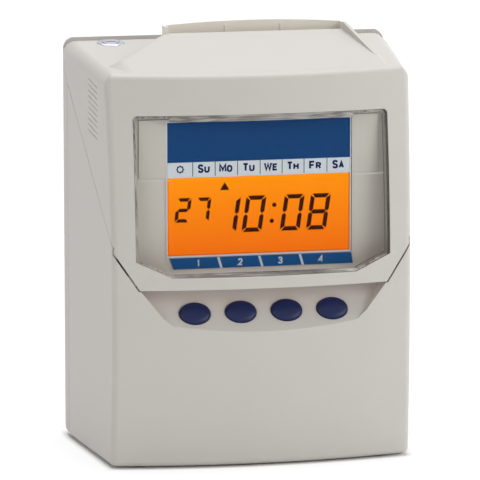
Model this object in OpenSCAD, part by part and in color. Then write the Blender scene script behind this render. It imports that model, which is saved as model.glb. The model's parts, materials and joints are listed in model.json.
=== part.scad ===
// Time recorder for punch cards, for a desk or a wall.
// Millimetres. X points right, Y to the back, Z up. The origin is on the
// surface that it stands on, under the middle of its box.

/* [Case] */
// Half width of the case at the rear seam and behind it
rear_half_w = 94; // [92:0.5:97]
// Half width at the front corners
corner_half_w = 84.5; // [83:0.5:87]
// Y of the back face
back_y = 58.5; // [58:0.5:61]
// Y of the seam between the rear case and the front half
seam_y = 39.4; // [38.5:0.1:40.5]
// Y of the front corners at the belly
corner_y = -50.2; // [-52:0.1:-49]
// How far the front bulges out between its corners
front_bulge = 8.6; // [6:0.1:10]
// Height of the belly, where the front reaches furthest
belly_z = 90; // [86:1:95]
// Height of the front top ridge
ridge_z = 219.6; // [218:0.2:223]
// How far the ridge lies behind the belly
ridge_setback = 14.4; // [12:0.2:15]
// How far the bottom edge lies behind the belly
foot_setback = 5; // [3:0.5:7]
// Rise of the shoulders for each millimetre towards the back
shoulder_slope = 0.094; // [0.09:0.002:0.1]
// Top of the rear rim
rim_z = 230; // [229.5:0.5:233]
// Underside of the case, above the surface
base_z = 1; // [0.8:0.1:1.6]
// Wall thickness of the three shells
wall = 2.5; // [2.2:0.1:2.8]
// Radius of the upright front corners
corner_r = 5; // [4.5:0.5:7]
// Radius of the long top edges at the sides
side_top_r = 8; // [6:0.5:9]
// Radius of the front top ridge
ridge_r = 3; // [2.8:0.2:4]
// Radius of the bottom edge
bottom_r = 3; // [2.8:0.2:4]
// Radius of the rear bottom edge
rear_bottom_r = 16; // [12:1:18]
// Radius of the upright rear edges and the rear top edge
rear_edge_r = 6; // [4:0.5:8]

/* [Seams and hinge] */
// Height of the cover's side seam at the front corners
seam_front_z = 123; // [120:0.5:126]
// Height of the cover's side seam at the rear seam
seam_rear_z = 206; // [203:0.5:208]
// Height of the chin, the cover's front bottom edge
chin_z = 101.5; // [100:0.5:103]
// Half width of the chin's straight edge
chin_half_w = 70; // [68:0.5:72]
// Gap left along the seams between the shells
seam_gap = 0.4; // [0.3:0.1:0.6]
// Y of the cover's hinge axis
hinge_y = 50.2; // [49.8:0.1:50.6]
// Height of the cover's hinge axis
hinge_z = 224; // [223.6:0.1:224.4]
// Radius of the cover's rear bead round the hinge axis
bead_r = 4; // [3.8:0.1:4.2]
// Radius of the two hinge pins
hinge_pin_r = 1.25; // [1.1:0.05:1.4]
// Running clearance of a pin or shaft, on the radius
run_gap = 0.05; // [0.03:0.01:0.08]
// Radius of the hinge ears and lugs
ear_r = 2.2; // [2:0.1:2.4]
// Distance of the hinge ears' outer faces from the sides of the rear case
ear_inset = 9.2; // [8.6:0.1:10]
// Thickness of a hinge ear and of a lug
ear_t = 3.4; // [3:0.1:3.6]

/* [Card guide] */
// X of the middle of the card guide and of the card's path
card_x = 11; // [9:0.5:12]
// Width over the card guide's end walls
guide_w = 105; // [103:0.5:107]
// Y of the lip in front of the card slot
lip_y = 20; // [19:0.5:21]
// Rise of the deck for each millimetre towards the back
deck_slope = 0.2665; // [0.25:0.0005:0.28]
// Length of the card slot from front to back
slot_d = 5; // [4.8:0.1:5.4]
// Width of a standard card
card_w = 86; // [84:0.5:88]
// Height of the guide's end walls
guide_end_z = 238.2; // [237.5:0.1:239]
// Rise of the guide's arched top over its ends
guide_arch = 2.1; // [1:0.1:3]
// Half width of the deck's fan where it reaches the front, at the left
fan_left = 78; // [76:0.5:79]
// The same at the right
fan_right = 73; // [71:0.5:75]
// Y of the fan's front corners
fan_y = -16; // [-18:0.5:-14]
// Height of the fin at the right of the deck
fin_h = 4.6; // [3:0.1:6]
// Thickness of the fin
fin_t = 2; // [1.6:0.1:2.4]

/* [Window and display] */
// Half width of the window
window_half_w = 72; // [70:0.5:73]
// Top of the window
window_top_z = 197.3; // [196:0.1:198]
// Bottom of the window's upright sides
window_side_z = 117.4; // [116:0.1:119]
// Bottom of the window
window_low_z = 108.5; // [108:0.1:109.5]
// Half width of the window's flat middle
window_flat = 52; // [50.5:0.5:53]
// How far the lens lies behind the cover's surface
lens_sink = 0.6; // [0.4:0.1:0.8]
// Clearance round the lens
lens_gap = 0.15; // [0.1:0.05:0.25]
// Thickness of the lens
lens_t = 1.8; // [1.6:0.1:2]
// Y of the front of the display fascia
fascia_y = -37.75; // [-38:0.05:-37]
// Thickness of the fascia
fascia_t = 2; // [1.6:0.1:2.4]
// How far the fascia reaches past the window at each side
fascia_margin = 2; // [1:0.5:3]
// Top of the fascia
fascia_top_z = 196.4; // [195.5:0.1:196.8]
// Half width of the liquid crystal panel
lcd_half_w = 51.8; // [50:0.1:52.5]
// Bottom of the panel
lcd_low_z = 117.9; // [117:0.1:119]
// Top of the panel
lcd_top_z = 161.5; // [160:0.1:162]
// Thickness of the panel
lcd_t = 2.8; // [2.4:0.1:3.2]
// Thickness of the printed plates
plate_t = 0.8; // [0.6:0.1:1]

/* [Buttons] */
// Number of buttons
button_count = 4; // [4:1:4]
// Distance from button to button
button_pitch = 26; // [25.5:0.1:26.4]
// Width of a button
button_w = 17.6; // [16.5:0.1:18]
// Height of a button along the panel
button_h = 14.4; // [13.5:0.1:15]
// Travel of a button
button_travel = 1.2; // [1:0.1:1.4]
// Tilt of the button panel from upright, in degrees
panel_tilt = 40; // [38:0.5:42]
// Height where the panel meets the front
panel_low_z = 77.3; // [76.5:0.1:78]
// Distance of the buttons' middles up the panel
button_u = 12.8; // [12:0.1:13.4]
// Clearance round a button
button_gap = 0.3; // [0.2:0.05:0.4]
// How high a button's crown stands over the panel
button_crown = 2.6; // [2:0.1:3]

/* [Lock] */
// Distance of the lock's axis from the left side of the rear case
lock_inset = 26; // [25:0.5:27]
// Y of the lock
lock_y = 44; // [43.5:0.1:44.5]
// Radius of the lock's collar
lock_collar_r = 7.9; // [7.5:0.1:8.2]
// Radius of the lock's barrel
lock_barrel_r = 6; // [5.8:0.1:6.2]
// Radius of the turning core
lock_core_r = 4.5; // [4.2:0.1:4.8]
// Length of the barrel under the shoulder
lock_len = 17; // [16:0.5:18]
// Reach of the cam from the lock's axis
cam_reach = 9.6; // [9.2:0.1:10]

/* [Mechanism] */
// Half width between the side plates of the chassis
chassis_half_w = 55.5; // [55:0.5:56]
// Thickness of the chassis plates
sheet_t = 1.5; // [1.2:0.1:1.6]
// Y of the middle of the card's path
path_y = 24; // [23.8:0.1:24.2]
// Width of the gap between the chute's plates
chute_gap = 4.8; // [4.6:0.1:5]
// Thickness of the chute's plates
chute_t = 1; // [0.8:0.1:1.2]
// Height of the chute's floor, where a card stops
chute_low_z = 60; // [58:0.5:64]
// Height of the chute's mouth, under the card slot
chute_top_z = 209; // [207:0.5:210]
// Height of the flared lead-in at the mouth
chute_lead = 6; // [4:0.5:8]
// Height of the feed rollers
feed_z = 170; // [169:0.5:171]
// Radius of the feed rollers
feed_r = 9; // [8.5:0.1:9.4]
// Radius of the pinch rollers
pinch_r = 6; // [5.6:0.1:6.4]
// Gap between feed and pinch rollers for the card
nip = 0.4; // [0.3:0.05:0.5]
// Radius of the roller shafts
shaft_r = 2.5; // [2.3:0.1:2.7]
// Length of one roller
roller_l = 14; // [12:0.5:16]
// Distance of the rollers from the middle of the path
roller_x = 22; // [20:0.5:24]
// Module of the gears
gear_m = 0.8; // [0.78:0.01:0.8]
// Teeth of the feed gear
feed_teeth = 36; // [36:1:36]
// Teeth of the motor's pinion
pinion_teeth = 12; // [12:1:12]
// Backlash between the gears
backlash = 0.16; // [0.12:0.02:0.24]
// Face width of the feed gear
gear_w = 4; // [3:0.5:5]
// Height of the line that is printed
print_z = 118; // [117:0.5:119]
// Travel of the print head to each side
head_travel = 33; // [30:1:34]
// Radius of the two guide rods of the print head
rod_r = 2.5; // [2.3:0.1:2.6]
// Y of the guide rods
rods_y = 5; // [4.5:0.1:5.5]
// Height of a guide rod over and under the printed line
rod_dz = 13; // [12.5:0.1:13.5]
// Radius of the belt pulleys
pulley_r = 6; // [5.6:0.1:6.2]

/* [Small parts] */
// Radius of the rubber feet
foot_r = 7; // [6:0.5:8]
// Distance between the two keyholes for the wall
keyhole_pitch = 100; // [96:1:104]
// Height of the keyholes
keyhole_z = 180; // [176:1:184]
// Radius of a keyhole's entry
keyhole_r = 4.5; // [4:0.1:5]
// Half width of a keyhole's slot
keyhole_slot = 2.3; // [2:0.1:2.6]
// Radius of the case screws
screw_r = 1.5; // [1.4:0.05:1.6]
// Radius of the case screws' heads
screw_head_r = 2.9; // [2.7:0.1:3]
// Distance of the case screws from the sides of the rear case
screw_inset = 14; // [13:0.5:15]
// Height of the lower case screws
screw_low_z = 25; // [24:0.5:27]
// Height of the upper case screws
screw_high_z = 172; // [168:1:175]
// X of the mains inlet
inlet_x = -50; // [-54:1:-46]
// Height of the mains inlet
inlet_z = 34; // [33:0.5:38]

/* [Hidden] */
$fn = 48;

case_c = [0.80, 0.78, 0.74];
rear_c = [0.77, 0.75, 0.71];
navy_c = [0.14, 0.18, 0.34];
metal_c = [0.72, 0.72, 0.74];
steel_c = [0.60, 0.61, 0.63];
dark_c = [0.13, 0.13, 0.14];
board_c = [0.10, 0.36, 0.22];

corner_steps = 4;
front_steps = 6;
ring_last = 2 + corner_steps + front_steps;
taper = (rear_half_w - corner_half_w) / (seam_y - corner_y);
taper_a = atan(taper);
ear_x = rear_half_w - ear_inset;
screw_x = rear_half_w - screw_inset;
lock_x = lock_inset - rear_half_w;
fascia_half_w = window_half_w + fascia_margin;
bulge_a = atan(2 * front_bulge / corner_half_w);
ridge_y = corner_y + ridge_setback;
tail_y = hinge_y + bead_r;
above = rim_z + 40;
far_front = corner_y - front_bulge - 20;

function half_w(y) = y > seam_y ? rear_half_w : corner_half_w + taper * (y - corner_y);
function setback(z) = z > belly_z
  ? ridge_setback * pow((z - belly_z) / (ridge_z - belly_z), 2)
  : foot_setback * pow((belly_z - z) / belly_z, 2);
function shoulder_z(y) = ridge_z + shoulder_slope * (y - ridge_y);
function deck_z(y) = ridge_z + deck_slope * (y - ridge_y);
function mix(a, b, t) = a + (b - a) * t;
// Y of the form's rear end: cut off short, or rounded to the bead near the top.
function tail_at(d, drop, cut) = cut > 0 ? (d > 0 ? cut + 3 : cut) : d > 0 ? tail_y + 3
  : hinge_y + sqrt(max(0.1, pow(bead_r, 2) - pow(max(0, shoulder_z(hinge_y + 2) - drop - hinge_z), 2)));

// Point i of the right half of the front half's outline, at inset d and height z.
function half_point(i, d, z, tail) = let (
    r = max(corner_r - d, 1),
    cy = corner_y + setback(z) + d + r,
    c = [half_w(cy) - (d + r) / cos(taper_a), cy],
    e = c + r * [sin(bulge_a), -cos(bulge_a)],
    a = mix(taper_a, 90 - bulge_a, (i - 2) / corner_steps),
    t = 1 - (i - 2 - corner_steps) / front_steps
  )
  i == 0 ? [half_w(tail) - d, tail]
  : i == 1 ? let (y = tail > seam_y + 4 ? seam_y + 0.3 : tail - 2) [half_w(y) - d, y]
  : i <= 2 + corner_steps ? c + r * [cos(a), -sin(a)]
  : [e[0] * t, e[1] - front_bulge * (1 - t * t)];

// Y of the front at x and height z.
function front_y(x, z) = let (e = half_point(2 + corner_steps, 0, z, seam_y)) e[1] - front_bulge * (1 - pow(x / e[0], 2));

// Share of the way from the side's edge radius to the ridge's, for point i.
function ridge_share(i) = min(1, max(0, (i - 1) / (1 + corner_steps)));

function mirrored(pts) = concat(pts, [for (i = [len(pts) - 2:-1:0]) [-pts[i][0], pts[i][1], pts[i][2]]]);
function level_ring(d, inset, z, cut) = mirrored([for (i = [0:ring_last])
  let (p = half_point(i, d + inset, z, tail_at(d, 20, cut))) [p[0], p[1], z]]);
function top_ring(d, a, cut) = mirrored([for (i = [0:ring_last]) let (
    r = max(mix(side_top_r, ridge_r, ridge_share(i)) - d, 0.5),
    drop = d + r * (1 - cos(a)),
    p = half_point(i, d + r * (1 - sin(a)), ridge_z - drop, tail_at(d, drop, cut))
  ) [p[0], p[1], shoulder_z(p[1]) - drop]]);

// End face of a ring of n points in bands from side to side.
function cap(n, start, flip) = [for (i = [0:floor(n / 2) - 1])
  let (b = i + 1, c = n - 2 - i, q = b == c ? [i, b, n - 1 - i] : [i, b, c, n - 1 - i])
  if (b <= c) [for (k = [0:len(q) - 1]) start + q[flip ? len(q) - 1 - k : k]]];
// A closed solid through rings of points, listed from the lowest up.
module ring_solid(rings) {
  n = len(rings[0]);
  m = len(rings);
  polyhedron(
    points = [for (r = rings) each r],
    faces = concat(
      cap(n, 0, true),
      [for (k = [0:m - 2], i = [0:n - 1], s = [0, 1]) let (j = (i + 1) % n)
        s == 0 ? [k * n + i, k * n + j, (k + 1) * n + j] : [k * n + i, (k + 1) * n + j, (k + 1) * n + i]],
      cap(n, (m - 1) * n, false)
    )
  );
}

// The front half of the case as one solid, inset by d on every side and cut off at y = cut.
module front_form(d, cut = 0) {
  low = base_z + d;
  r = max(bottom_r - d, 0.5);
  bow = [for (z = [22, 45, 68, 90, 112, 134, 156, 176, 194]) d > 0 ? z - 7.3 : z];
  ring_solid(concat(
    [for (a = [0, 30, 60, 90]) level_ring(d, r * (1 - sin(a)), low + r * (1 - cos(a)), cut)],
    [for (z = bow) level_ring(d, 0, z, cut)],
    [for (a = d > 0 ? [90, 45, 0] : [90, 64, 40, 19, 0]) top_ring(d, a, cut)]
  ));
}

module along_x(half = 120) {
  rotate([90, 0, 90]) translate([0, 0, -half]) linear_extrude(2 * half) children();
}
module along_y(y0, y1) {
  translate([0, y1, 0]) rotate([90, 0, 0]) linear_extrude(y1 - y0) children();
}
module box(x0, x1, y0, y1, z0, z1) {
  translate([x0, y0, z0]) cube([x1 - x0, y1 - y0, z1 - z0]);
}
module rod_x(x0, x1, y, z, r) {
  translate([x0, y, z]) rotate([0, 90, 0]) cylinder(r = r, h = x1 - x0);
}
module rod_y(x, y0, y1, z, r) {
  translate([x, y0, z]) rotate([-90, 0, 0]) cylinder(r = r, h = y1 - y0);
}

// Side view of the room that the cover takes, grown by g.
seam_m = (seam_rear_z - seam_front_z) / (seam_y - corner_y);
function seam_z(y, g) = seam_front_z + seam_m * (y - corner_y) - g * sqrt(1 + seam_m * seam_m);
bead_dist = norm([hinge_y - seam_y, hinge_z - seam_rear_z]);
bead_a = atan2(hinge_z - seam_rear_z, hinge_y - seam_y) - asin(bead_r / bead_dist);
function bead_touch(g) = [hinge_y, hinge_z] + (bead_r + g) * [sin(bead_a), -cos(bead_a)];

module cover_side(g) {
  t = bead_touch(g);
  polygon([[far_front, seam_z(far_front, g)], [seam_y, seam_z(seam_y, g)], [seam_y, above], [far_front, above]]);
  polygon([[seam_y - 1, t[1] - (t[0] - seam_y + 1) * tan(bead_a)], t, [hinge_y, hinge_z],
    [hinge_y, above], [seam_y - 1, above]]);
  polygon([for (k = [0:23]) [hinge_y, hinge_z] + (bead_r + g) / cos(7.5) * [cos(k * 15 + 7.5), sin(k * 15 + 7.5)]]);
  if (g > 0) translate([hinge_y - 1, hinge_z]) square([bead_r + g + 1, above - hinge_z]);
}
module chin(g) {
  along_y(far_front, corner_y + wall + 0.1)
    polygon([[-corner_half_w, seam_front_z], [-chin_half_w - g, chin_z - g],
      [chin_half_w + g, chin_z - g], [corner_half_w, seam_front_z],
      [corner_half_w - wall, seam_front_z + 5], [wall - corner_half_w, seam_front_z + 5]]);
}
// Everything under a slanting plane, through a point of the side view.
module under(p, a) {
  translate([0, p[0], p[1]]) rotate([a, 0, 0]) translate([-140, -320, -320]) cube([280, 640, 320]);
}
module over(p, a) {
  translate([0, p[0], p[1]]) rotate([a, 0, 0]) translate([-140, -320, 0]) cube([280, 640, 320]);
}
// The case's front half and deck as a shell.
module top_shell() {
  difference() {
    union() {
      front_form(0);
      deck_form(0);
    }
    front_form(wall);
    deck_form(wall);
  }
}

// The deck that leads cards from the front ridge up to the slot.
guide_l = card_x - guide_w / 2;
guide_r = card_x + guide_w / 2;
flank_run = 0.8;
module deck_form(d) {
  sink = 6;
  lip_back = lip_y + 0.8 - (d > 0 ? 1.6 : 0);
  plan = [
    [fan_left + 1, ridge_y + 2 * d], [fan_right + 3, ridge_y + 2 * d], [fan_right, fan_y],
    [guide_r, lip_back], [guide_l, lip_back], [-fan_left, fan_y], [-fan_left - 1, ridge_y + 2 * d]
  ];
  side = [1, 1, 1, 1, -1, -1, -1];
  pts = [for (i = [1:6]) [plan[i][0] - side[i] * 1.4 * d, plan[i][1]]];
  ring_solid([
    [for (i = [5:-1:0]) let (p = pts[i], h = deck_z(p[1]) - shoulder_z(p[1]) + sink)
      [p[0] + side[i + 1] * flank_run * h, p[1], shoulder_z(p[1]) - sink - 1.2 * d]],
    [for (i = [5:-1:0]) let (p = pts[i]) [p[0], p[1], deck_z(p[1]) - 1.05 * d]]
  ]);
}

// Outline of the window, seen from the front, grown by g.
module window_outline(g) {
  polygon([
    [-window_flat - g * 0.4, window_low_z - g], [window_flat + g * 0.4, window_low_z - g],
    [window_half_w + g, window_side_z - g * 0.6], [window_half_w + g, window_top_z + g],
    [-window_half_w - g, window_top_z + g], [-window_half_w - g, window_side_z - g * 0.6]
  ]);
}

vent_count = 10;
vent_pitch = 3.2;
vent_low_z = 183.3;
module vents(side) {
  for (k = [0:vent_count - 1])
    box(min(side * 78, side * 98), max(side * 78, side * 98), -10, 14,
      vent_low_z + k * vent_pitch, vent_low_z + k * vent_pitch + 1.5);
}

// Everything set square to the left shoulder, at the lock's axis.
lock_tilt = atan(shoulder_slope);
module at_lock() {
  translate([lock_x, lock_y, shoulder_z(lock_y)]) rotate([lock_tilt, 0, 0]) children();
}

hump_z = rim_z - 0.8;
module upper_cover() color(case_c) {
  slot_back = lip_y + 0.8 + guide_depth + 0.4;
  difference() {
    union() {
      difference() {
        top_shell();
        under([seam_y, seam_rear_z], atan(seam_m));
        under([seam_y, seam_rear_z], bead_a);
        under([hinge_y, hinge_z] + bead_r * [sin(72), -cos(72)], 72);
      }
      intersection() {
        difference() {
          front_form(0);
          front_form(wall);
        }
        chin(0);
      }
      // The step behind the card guide, down to the shoulder
      translate([card_x, 0, 0]) along_x(guide_w / 2)
        polygon([[lip_y + 0.8, shoulder_z(lip_y) - wall - 0.5], [lip_y + 0.8, hump_z],
          [slot_back + 2, hump_z], [hinge_y - 3, shoulder_z(hinge_y - 3) - 0.2],
          [hinge_y - 3, shoulder_z(hinge_y - 3) - wall]]);
      // Fin at the right edge of the deck
      fin();
      // Return under the chin
      intersection() {
        box(-chin_half_w + 1, chin_half_w - 1, far_front, corner_y + 2, chin_z, chin_z + 2);
        front_form(wall / 2);
      }
      for (s = [-1, 1]) ear(s);
      // Boss under the lock
      at_lock() translate([0, 0, -wall - 1.5]) cylinder(r = lock_collar_r + 1.5, h = 2.5);
    }
    along_y(far_front, fascia_y - 1.3) window_outline(lens_gap);
    box(guide_l, guide_r, lip_y + 0.8, slot_back, 190, above);
    at_lock() translate([0, 0, -10]) cylinder(r = lock_barrel_r + run_gap, h = 20);
    for (s = [-1, 1]) {
      vents(s);
      rod_x(s > 0 ? ear_x - ear_t - 1 : -ear_x - 1, s > 0 ? ear_x + 1 : -ear_x + ear_t + 1,
        hinge_y, hinge_z, hinge_pin_r + run_gap);
      box(s > 0 ? ear_x + 0.1 : -ear_x - ear_t - 1, s > 0 ? ear_x + ear_t + 1 : -ear_x - 0.1,
        hinge_y - 3, hinge_y + 6, hinge_z - 4, hinge_z + ear_r + 0.3);
    }
  }
}
module fin() {
  base = [guide_r - 0.2, lip_y + 0.8];
  tip = [fan_right - 0.2, fan_y];
  len = norm(tip - base);
  a = atan2(tip[1] - base[1], tip[0] - base[0]);
  translate([base[0], base[1], 0]) rotate([0, 0, a]) translate([0, -fin_t, 0]) rotate([90, 0, 0])
    mirror([0, 0, 1]) linear_extrude(fin_t)
      polygon([[0, deck_z(base[1]) - 4], [0, deck_z(base[1]) + fin_h - 0.6], [2, deck_z(base[1]) + fin_h - 1.2],
        [len, deck_z(tip[1])], [len, deck_z(tip[1]) - 2]]);
}
module ear(s) {
  x0 = s > 0 ? ear_x - ear_t : -ear_x;
  rod_x(x0, x0 + ear_t, hinge_y, hinge_z, ear_r);
  along = hinge_y - 7;
  box(x0, x0 + ear_t, along, hinge_y, hinge_z - ear_r, shoulder_z(along) - wall + 0.3);
}

// The insert that forms the card slot and stands up behind it.
guide_depth = slot_d + 3;
guide_low_z = 214;
module card_guide() color([0.66, 0.63, 0.57]) {
  front = lip_y + 0.8 + 0.25;
  l = guide_l + 0.25;
  r = guide_r - 0.25;
  back = lip_y + 0.8 + guide_depth + 0.4;
  slot0 = front + 1;
  rib_x = 16;
  difference() {
    intersection() {
      box(l, r, front, back, guide_low_z, above);
      along_y(front - 1, back + 1) {
        arch_r = (pow(guide_w / 2, 2) + pow(guide_arch, 2)) / (2 * guide_arch);
        translate([card_x, guide_end_z + guide_arch - arch_r]) circle(r = arch_r, $fn = 480);
      }
    }
    along_y(slot0, slot0 + slot_d)
      polygon([[card_x - card_w / 2 - 2, guide_low_z - 1], [card_x + card_w / 2 + 2, guide_low_z - 1],
        [r - 2, deck_z(lip_y) - 2], [r - 2, above], [l + 2, above], [l + 2, deck_z(lip_y) - 2]]);
    box(l + 2, r - 2, front - 1, slot0 + 0.1, deck_z(lip_y), above);
  }
  for (s = [-1, 1])
    box(card_x + s * rib_x - 0.7, card_x + s * rib_x + 0.7, slot0 + slot_d - 0.8, slot0 + slot_d + 0.5,
      deck_z(lip_y) - 6, guide_end_z - 0.5);
}

// A curved sheet that follows the front with a flat middle, from inset d0 to d1.
module front_sheet(d0, d1) {
  xs = [-corner_half_w + 2, -window_flat, window_flat, corner_half_w - 2];
  zs = [for (k = [0:8]) mix(window_low_z - 5, window_top_z + 5, k / 8)];
  ring_solid([for (z = zs) concat(
    [for (i = [3:-1:0]) [xs[i], front_y(xs[i], z) + d0, z]],
    [for (i = [0:3]) [xs[i], front_y(xs[i], z) + d1, z]])]);
}
module window_lens() color([0.85, 0.88, 0.90, 0.35]) {
  flange_y0 = wall + 0.25;
  intersection() {
    along_y(far_front, 0) window_outline(0);
    front_sheet(lens_sink, flange_y0 + 0.05);
  }
  difference() {
    intersection() {
      along_y(far_front, 0) window_outline(2.5);
      front_sheet(flange_y0, flange_y0 + 1.2);
    }
    along_y(far_front, 0) window_outline(-1);
  }
}

module lock_barrel() color(metal_c) at_lock() difference() {
  union() {
    cylinder(r1 = lock_collar_r, r2 = lock_collar_r - 0.5, h = 1.1);
    translate([0, 0, -lock_len]) cylinder(r = lock_barrel_r, h = lock_len);
  }
  translate([0, 0, -lock_len - 1]) cylinder(r = lock_core_r + run_gap, h = lock_len + 4);
}
module lock_nut() color(steel_c) at_lock() difference() {
  translate([0, 0, -wall - 1.5 - 3]) cylinder(r = lock_collar_r + 0.6, h = 2.9, $fn = 6);
  translate([0, 0, -20]) cylinder(r = lock_barrel_r, h = 20);
}
module lock_core() color(metal_c) at_lock() difference() {
  translate([0, 0, -lock_len - 0.6]) cylinder(r = lock_core_r, h = lock_len + 1.4);
  translate([-3, -0.6, -4]) cube([6, 1.2, 6]);
}
module lock_cam() color(steel_c) at_lock() translate([0, 0, -lock_len - 0.6 - 2]) {
  cylinder(r = lock_core_r, h = 2);
  translate([-3, 0, 0]) cube([6, cam_reach, 2]);
}
module hinge_pins() color(steel_c) for (s = [-1, 1])
  rod_x(s > 0 ? ear_x - ear_t - 0.5 : -ear_x - 0.4 - ear_t, s > 0 ? ear_x + 0.4 + ear_t : -ear_x + ear_t + 0.5,
    hinge_y, hinge_z, hinge_pin_r);

// The button panel, seen in the side view.
panel_low_y = front_y(0, panel_low_z);
panel_t = 2.5;
panel_top_z = chin_z - seam_gap - 0.2;
function panel_y(z) = panel_low_y + (z - panel_low_z) * tan(panel_tilt);
module recess_outline(g, top) {
  polygon([
    [-44 - g, 66], [44 + g, 66], [50 + g, 79.5 - g * 0.6], [57.8 + g, 86.3 - g * 0.4],
    [chin_half_w + g, chin_z - g * 0.4], [chin_half_w + g, top], [-chin_half_w - g, top],
    [-chin_half_w - g, chin_z - g * 0.4], [-57.8 - g, 86.3 - g * 0.4], [-50 - g, 79.5 - g * 0.6]
  ]);
}
module recess() {
  intersection() {
    along_y(far_front, 0) recess_outline(0, chin_z + 12);
    along_x() polygon([[far_front - 10, 60], [panel_y(60), 60], [panel_y(chin_z + 14), chin_z + 14],
      [far_front - 10, chin_z + 14]]);
  }
}
module at_panel(x = 0, u = 0) {
  translate([0, panel_low_y, panel_low_z]) rotate([90 - panel_tilt, 0, 0]) translate([x, u, 0]) children();
}
function button_x(k) = (k - (button_count - 1) / 2) * button_pitch;
function oval(w, h, steps = 24) = [for (i = [0:steps - 1]) [w / 2 * cos(i * 360 / steps), h / 2 * sin(i * 360 / steps)]];

post_len = 7.7;
module lower_case() color(case_c) {
  back_t = panel_t / cos(panel_tilt);
  difference() {
    union() {
      difference() {
        front_form(0, seam_y);
        front_form(wall, seam_y);
        over([corner_y, seam_z(corner_y, seam_gap)], atan(seam_m));
        chin(seam_gap);
        recess();
      }
      // Panel and side walls of the recess
      difference() {
        intersection() {
          front_form(0, seam_y);
          along_y(far_front, 0) recess_outline(2, panel_top_z);
          along_x() polygon([[far_front, 70], [panel_y(70) + back_t, 70],
            [panel_y(panel_top_z) + back_t, panel_top_z], [far_front, panel_top_z]]);
        }
        recess();
      }
      for (k = [0:button_count - 2])
        at_panel(mix(button_x(k), button_x(k + 1), 0.5), button_u)
          translate([0, 0, -panel_t - post_len]) cylinder(r = 1.8, h = post_len + 0.1);
      for (s = [-1, 1], z = [screw_low_z, screw_high_z]) screw_boss(s, z);
      for (p = stand_points) translate([p[0], p[1], base_z + wall - 0.1])
        cylinder(r = 4, h = chassis_z - base_z - wall + 0.1);
    }
    for (k = [0:button_count - 1]) at_panel(button_x(k), button_u) translate([0, 0, -6])
      linear_extrude(12) polygon(oval(button_w + 2 * button_gap, button_h + 2 * button_gap));
    for (s = [-1, 1], z = [screw_low_z, screw_high_z]) rod_y(s * screw_x, seam_y - 16, seam_y + 1, z, screw_r);
    for (p = stand_points) translate([p[0], p[1], chassis_z - 5]) cylinder(r = 1.25, h = 6);
    for (p = foot_points) translate([p[0], p[1], base_z - 1]) cylinder(r = foot_r, h = 1.6);
  }
}
module screw_boss(s, z) {
  rod_y(s * screw_x, seam_y - 14, seam_y - 0.2, z, 4);
  wall_x = half_w(seam_y - 14) - wall / 2;
  box(min(s * screw_x, s * wall_x), max(s * screw_x, s * wall_x), seam_y - 14, seam_y - 0.2, z - 1.5, z + 1.5);
}
foot_points = [[-68, -36], [68, -36], [-72, 26], [72, 26]];
module rubber_feet() color(dark_c) for (p = foot_points)
  translate([p[0], p[1], 0]) cylinder(r1 = foot_r - 0.6, r2 = foot_r, h = base_z + 0.6);

module button(k) color(navy_c) at_panel(button_x(k), button_u) {
  flange = 1.2;
  ring_solid([for (q = [[-panel_t - 0.3, 1], [button_crown - 1.3, 1], [button_crown - 0.5, 0.9],
      [button_crown - 0.15, 0.66], [button_crown, 0.3]])
    let (o = oval(button_w, button_h)) [for (i = [len(o) - 1:-1:0]) [o[i][0] * q[1], o[i][1] * q[1], q[0]]]]);
  translate([0, 0, -panel_t - 0.2 - flange])
    linear_extrude(flange) polygon(oval(button_w + 2.2, button_h + 2.2));
  translate([0, 0, -panel_t - 0.2 - flange - 0.7]) cylinder(r = 1.9, h = 1);
}
module button_1() button(0);
module button_2() button(1);
module button_3() button(2);
module button_4() button(3);
module button_board() {
  color(board_c) at_panel(0, button_u) translate([-button_pitch * 2 - 2, -9, -panel_t - post_len - 1.6])
    cube([button_pitch * 4 + 4, 18, 1.6]);
  switch_h = post_len - 0.2 - 1.2 - 0.7 - button_travel - 0.15;
  color(dark_c) for (k = [0:button_count - 1]) at_panel(button_x(k), button_u)
    translate([0, 0, -panel_t - post_len - 0.01]) {
      translate([-3, -3, 0]) cube([6, 6, switch_h - 0.8]);
      cylinder(r = 1.7, h = switch_h);
    }
}

// Corner of a rectangle in the plane, rounded, as a list of points.
function arc(c, r, a0, a1, steps = 5) = [for (i = [0:steps]) c + r * [cos(mix(a0, a1, i / steps)), sin(mix(a0, a1, i / steps))]];
module rear_block(d) {
  t = rear_edge_r - min(d, rear_edge_r - 1);
  s = max(side_top_r - d, 1);
  b = max(bottom_r - d, 1);
  q = rear_bottom_r - d;
  w = rear_half_w - d;
  z0 = base_z + d;
  z1 = rim_z - d;
  y1 = back_y - d;
  y0 = seam_y - (d > 0 ? 1 : 0);
  intersection() {
    along_y(y0, y1) polygon(concat(
      arc([w - b, z0 + b], b, -90, 0, 3), arc([w - s, z1 - s], s, 0, 90),
      arc([s - w, z1 - s], s, 90, 180), arc([b - w, z0 + b], b, 180, 270, 3)));
    along_x() polygon(concat([[y0, z0]], arc([y1 - q, z0 + q], q, -90, 0, 6),
      arc([y1 - t, z1 - t], t, 0, 90), [[y0, z1]]));
    translate([0, 0, -5]) linear_extrude(above) polygon(concat([[-w, y0], [w, y0]],
      arc([w - t, y1 - t], t, 0, 90), arc([t - w, y1 - t], t, 90, 180)));
  }
}
post_r = 4.5;
head_sink = 4;
cam_y = lock_y + (lock_len + 1.6) * sin(lock_tilt);
cam_z = shoulder_z(lock_y) - (lock_len + 1.6) * cos(lock_tilt);
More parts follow.
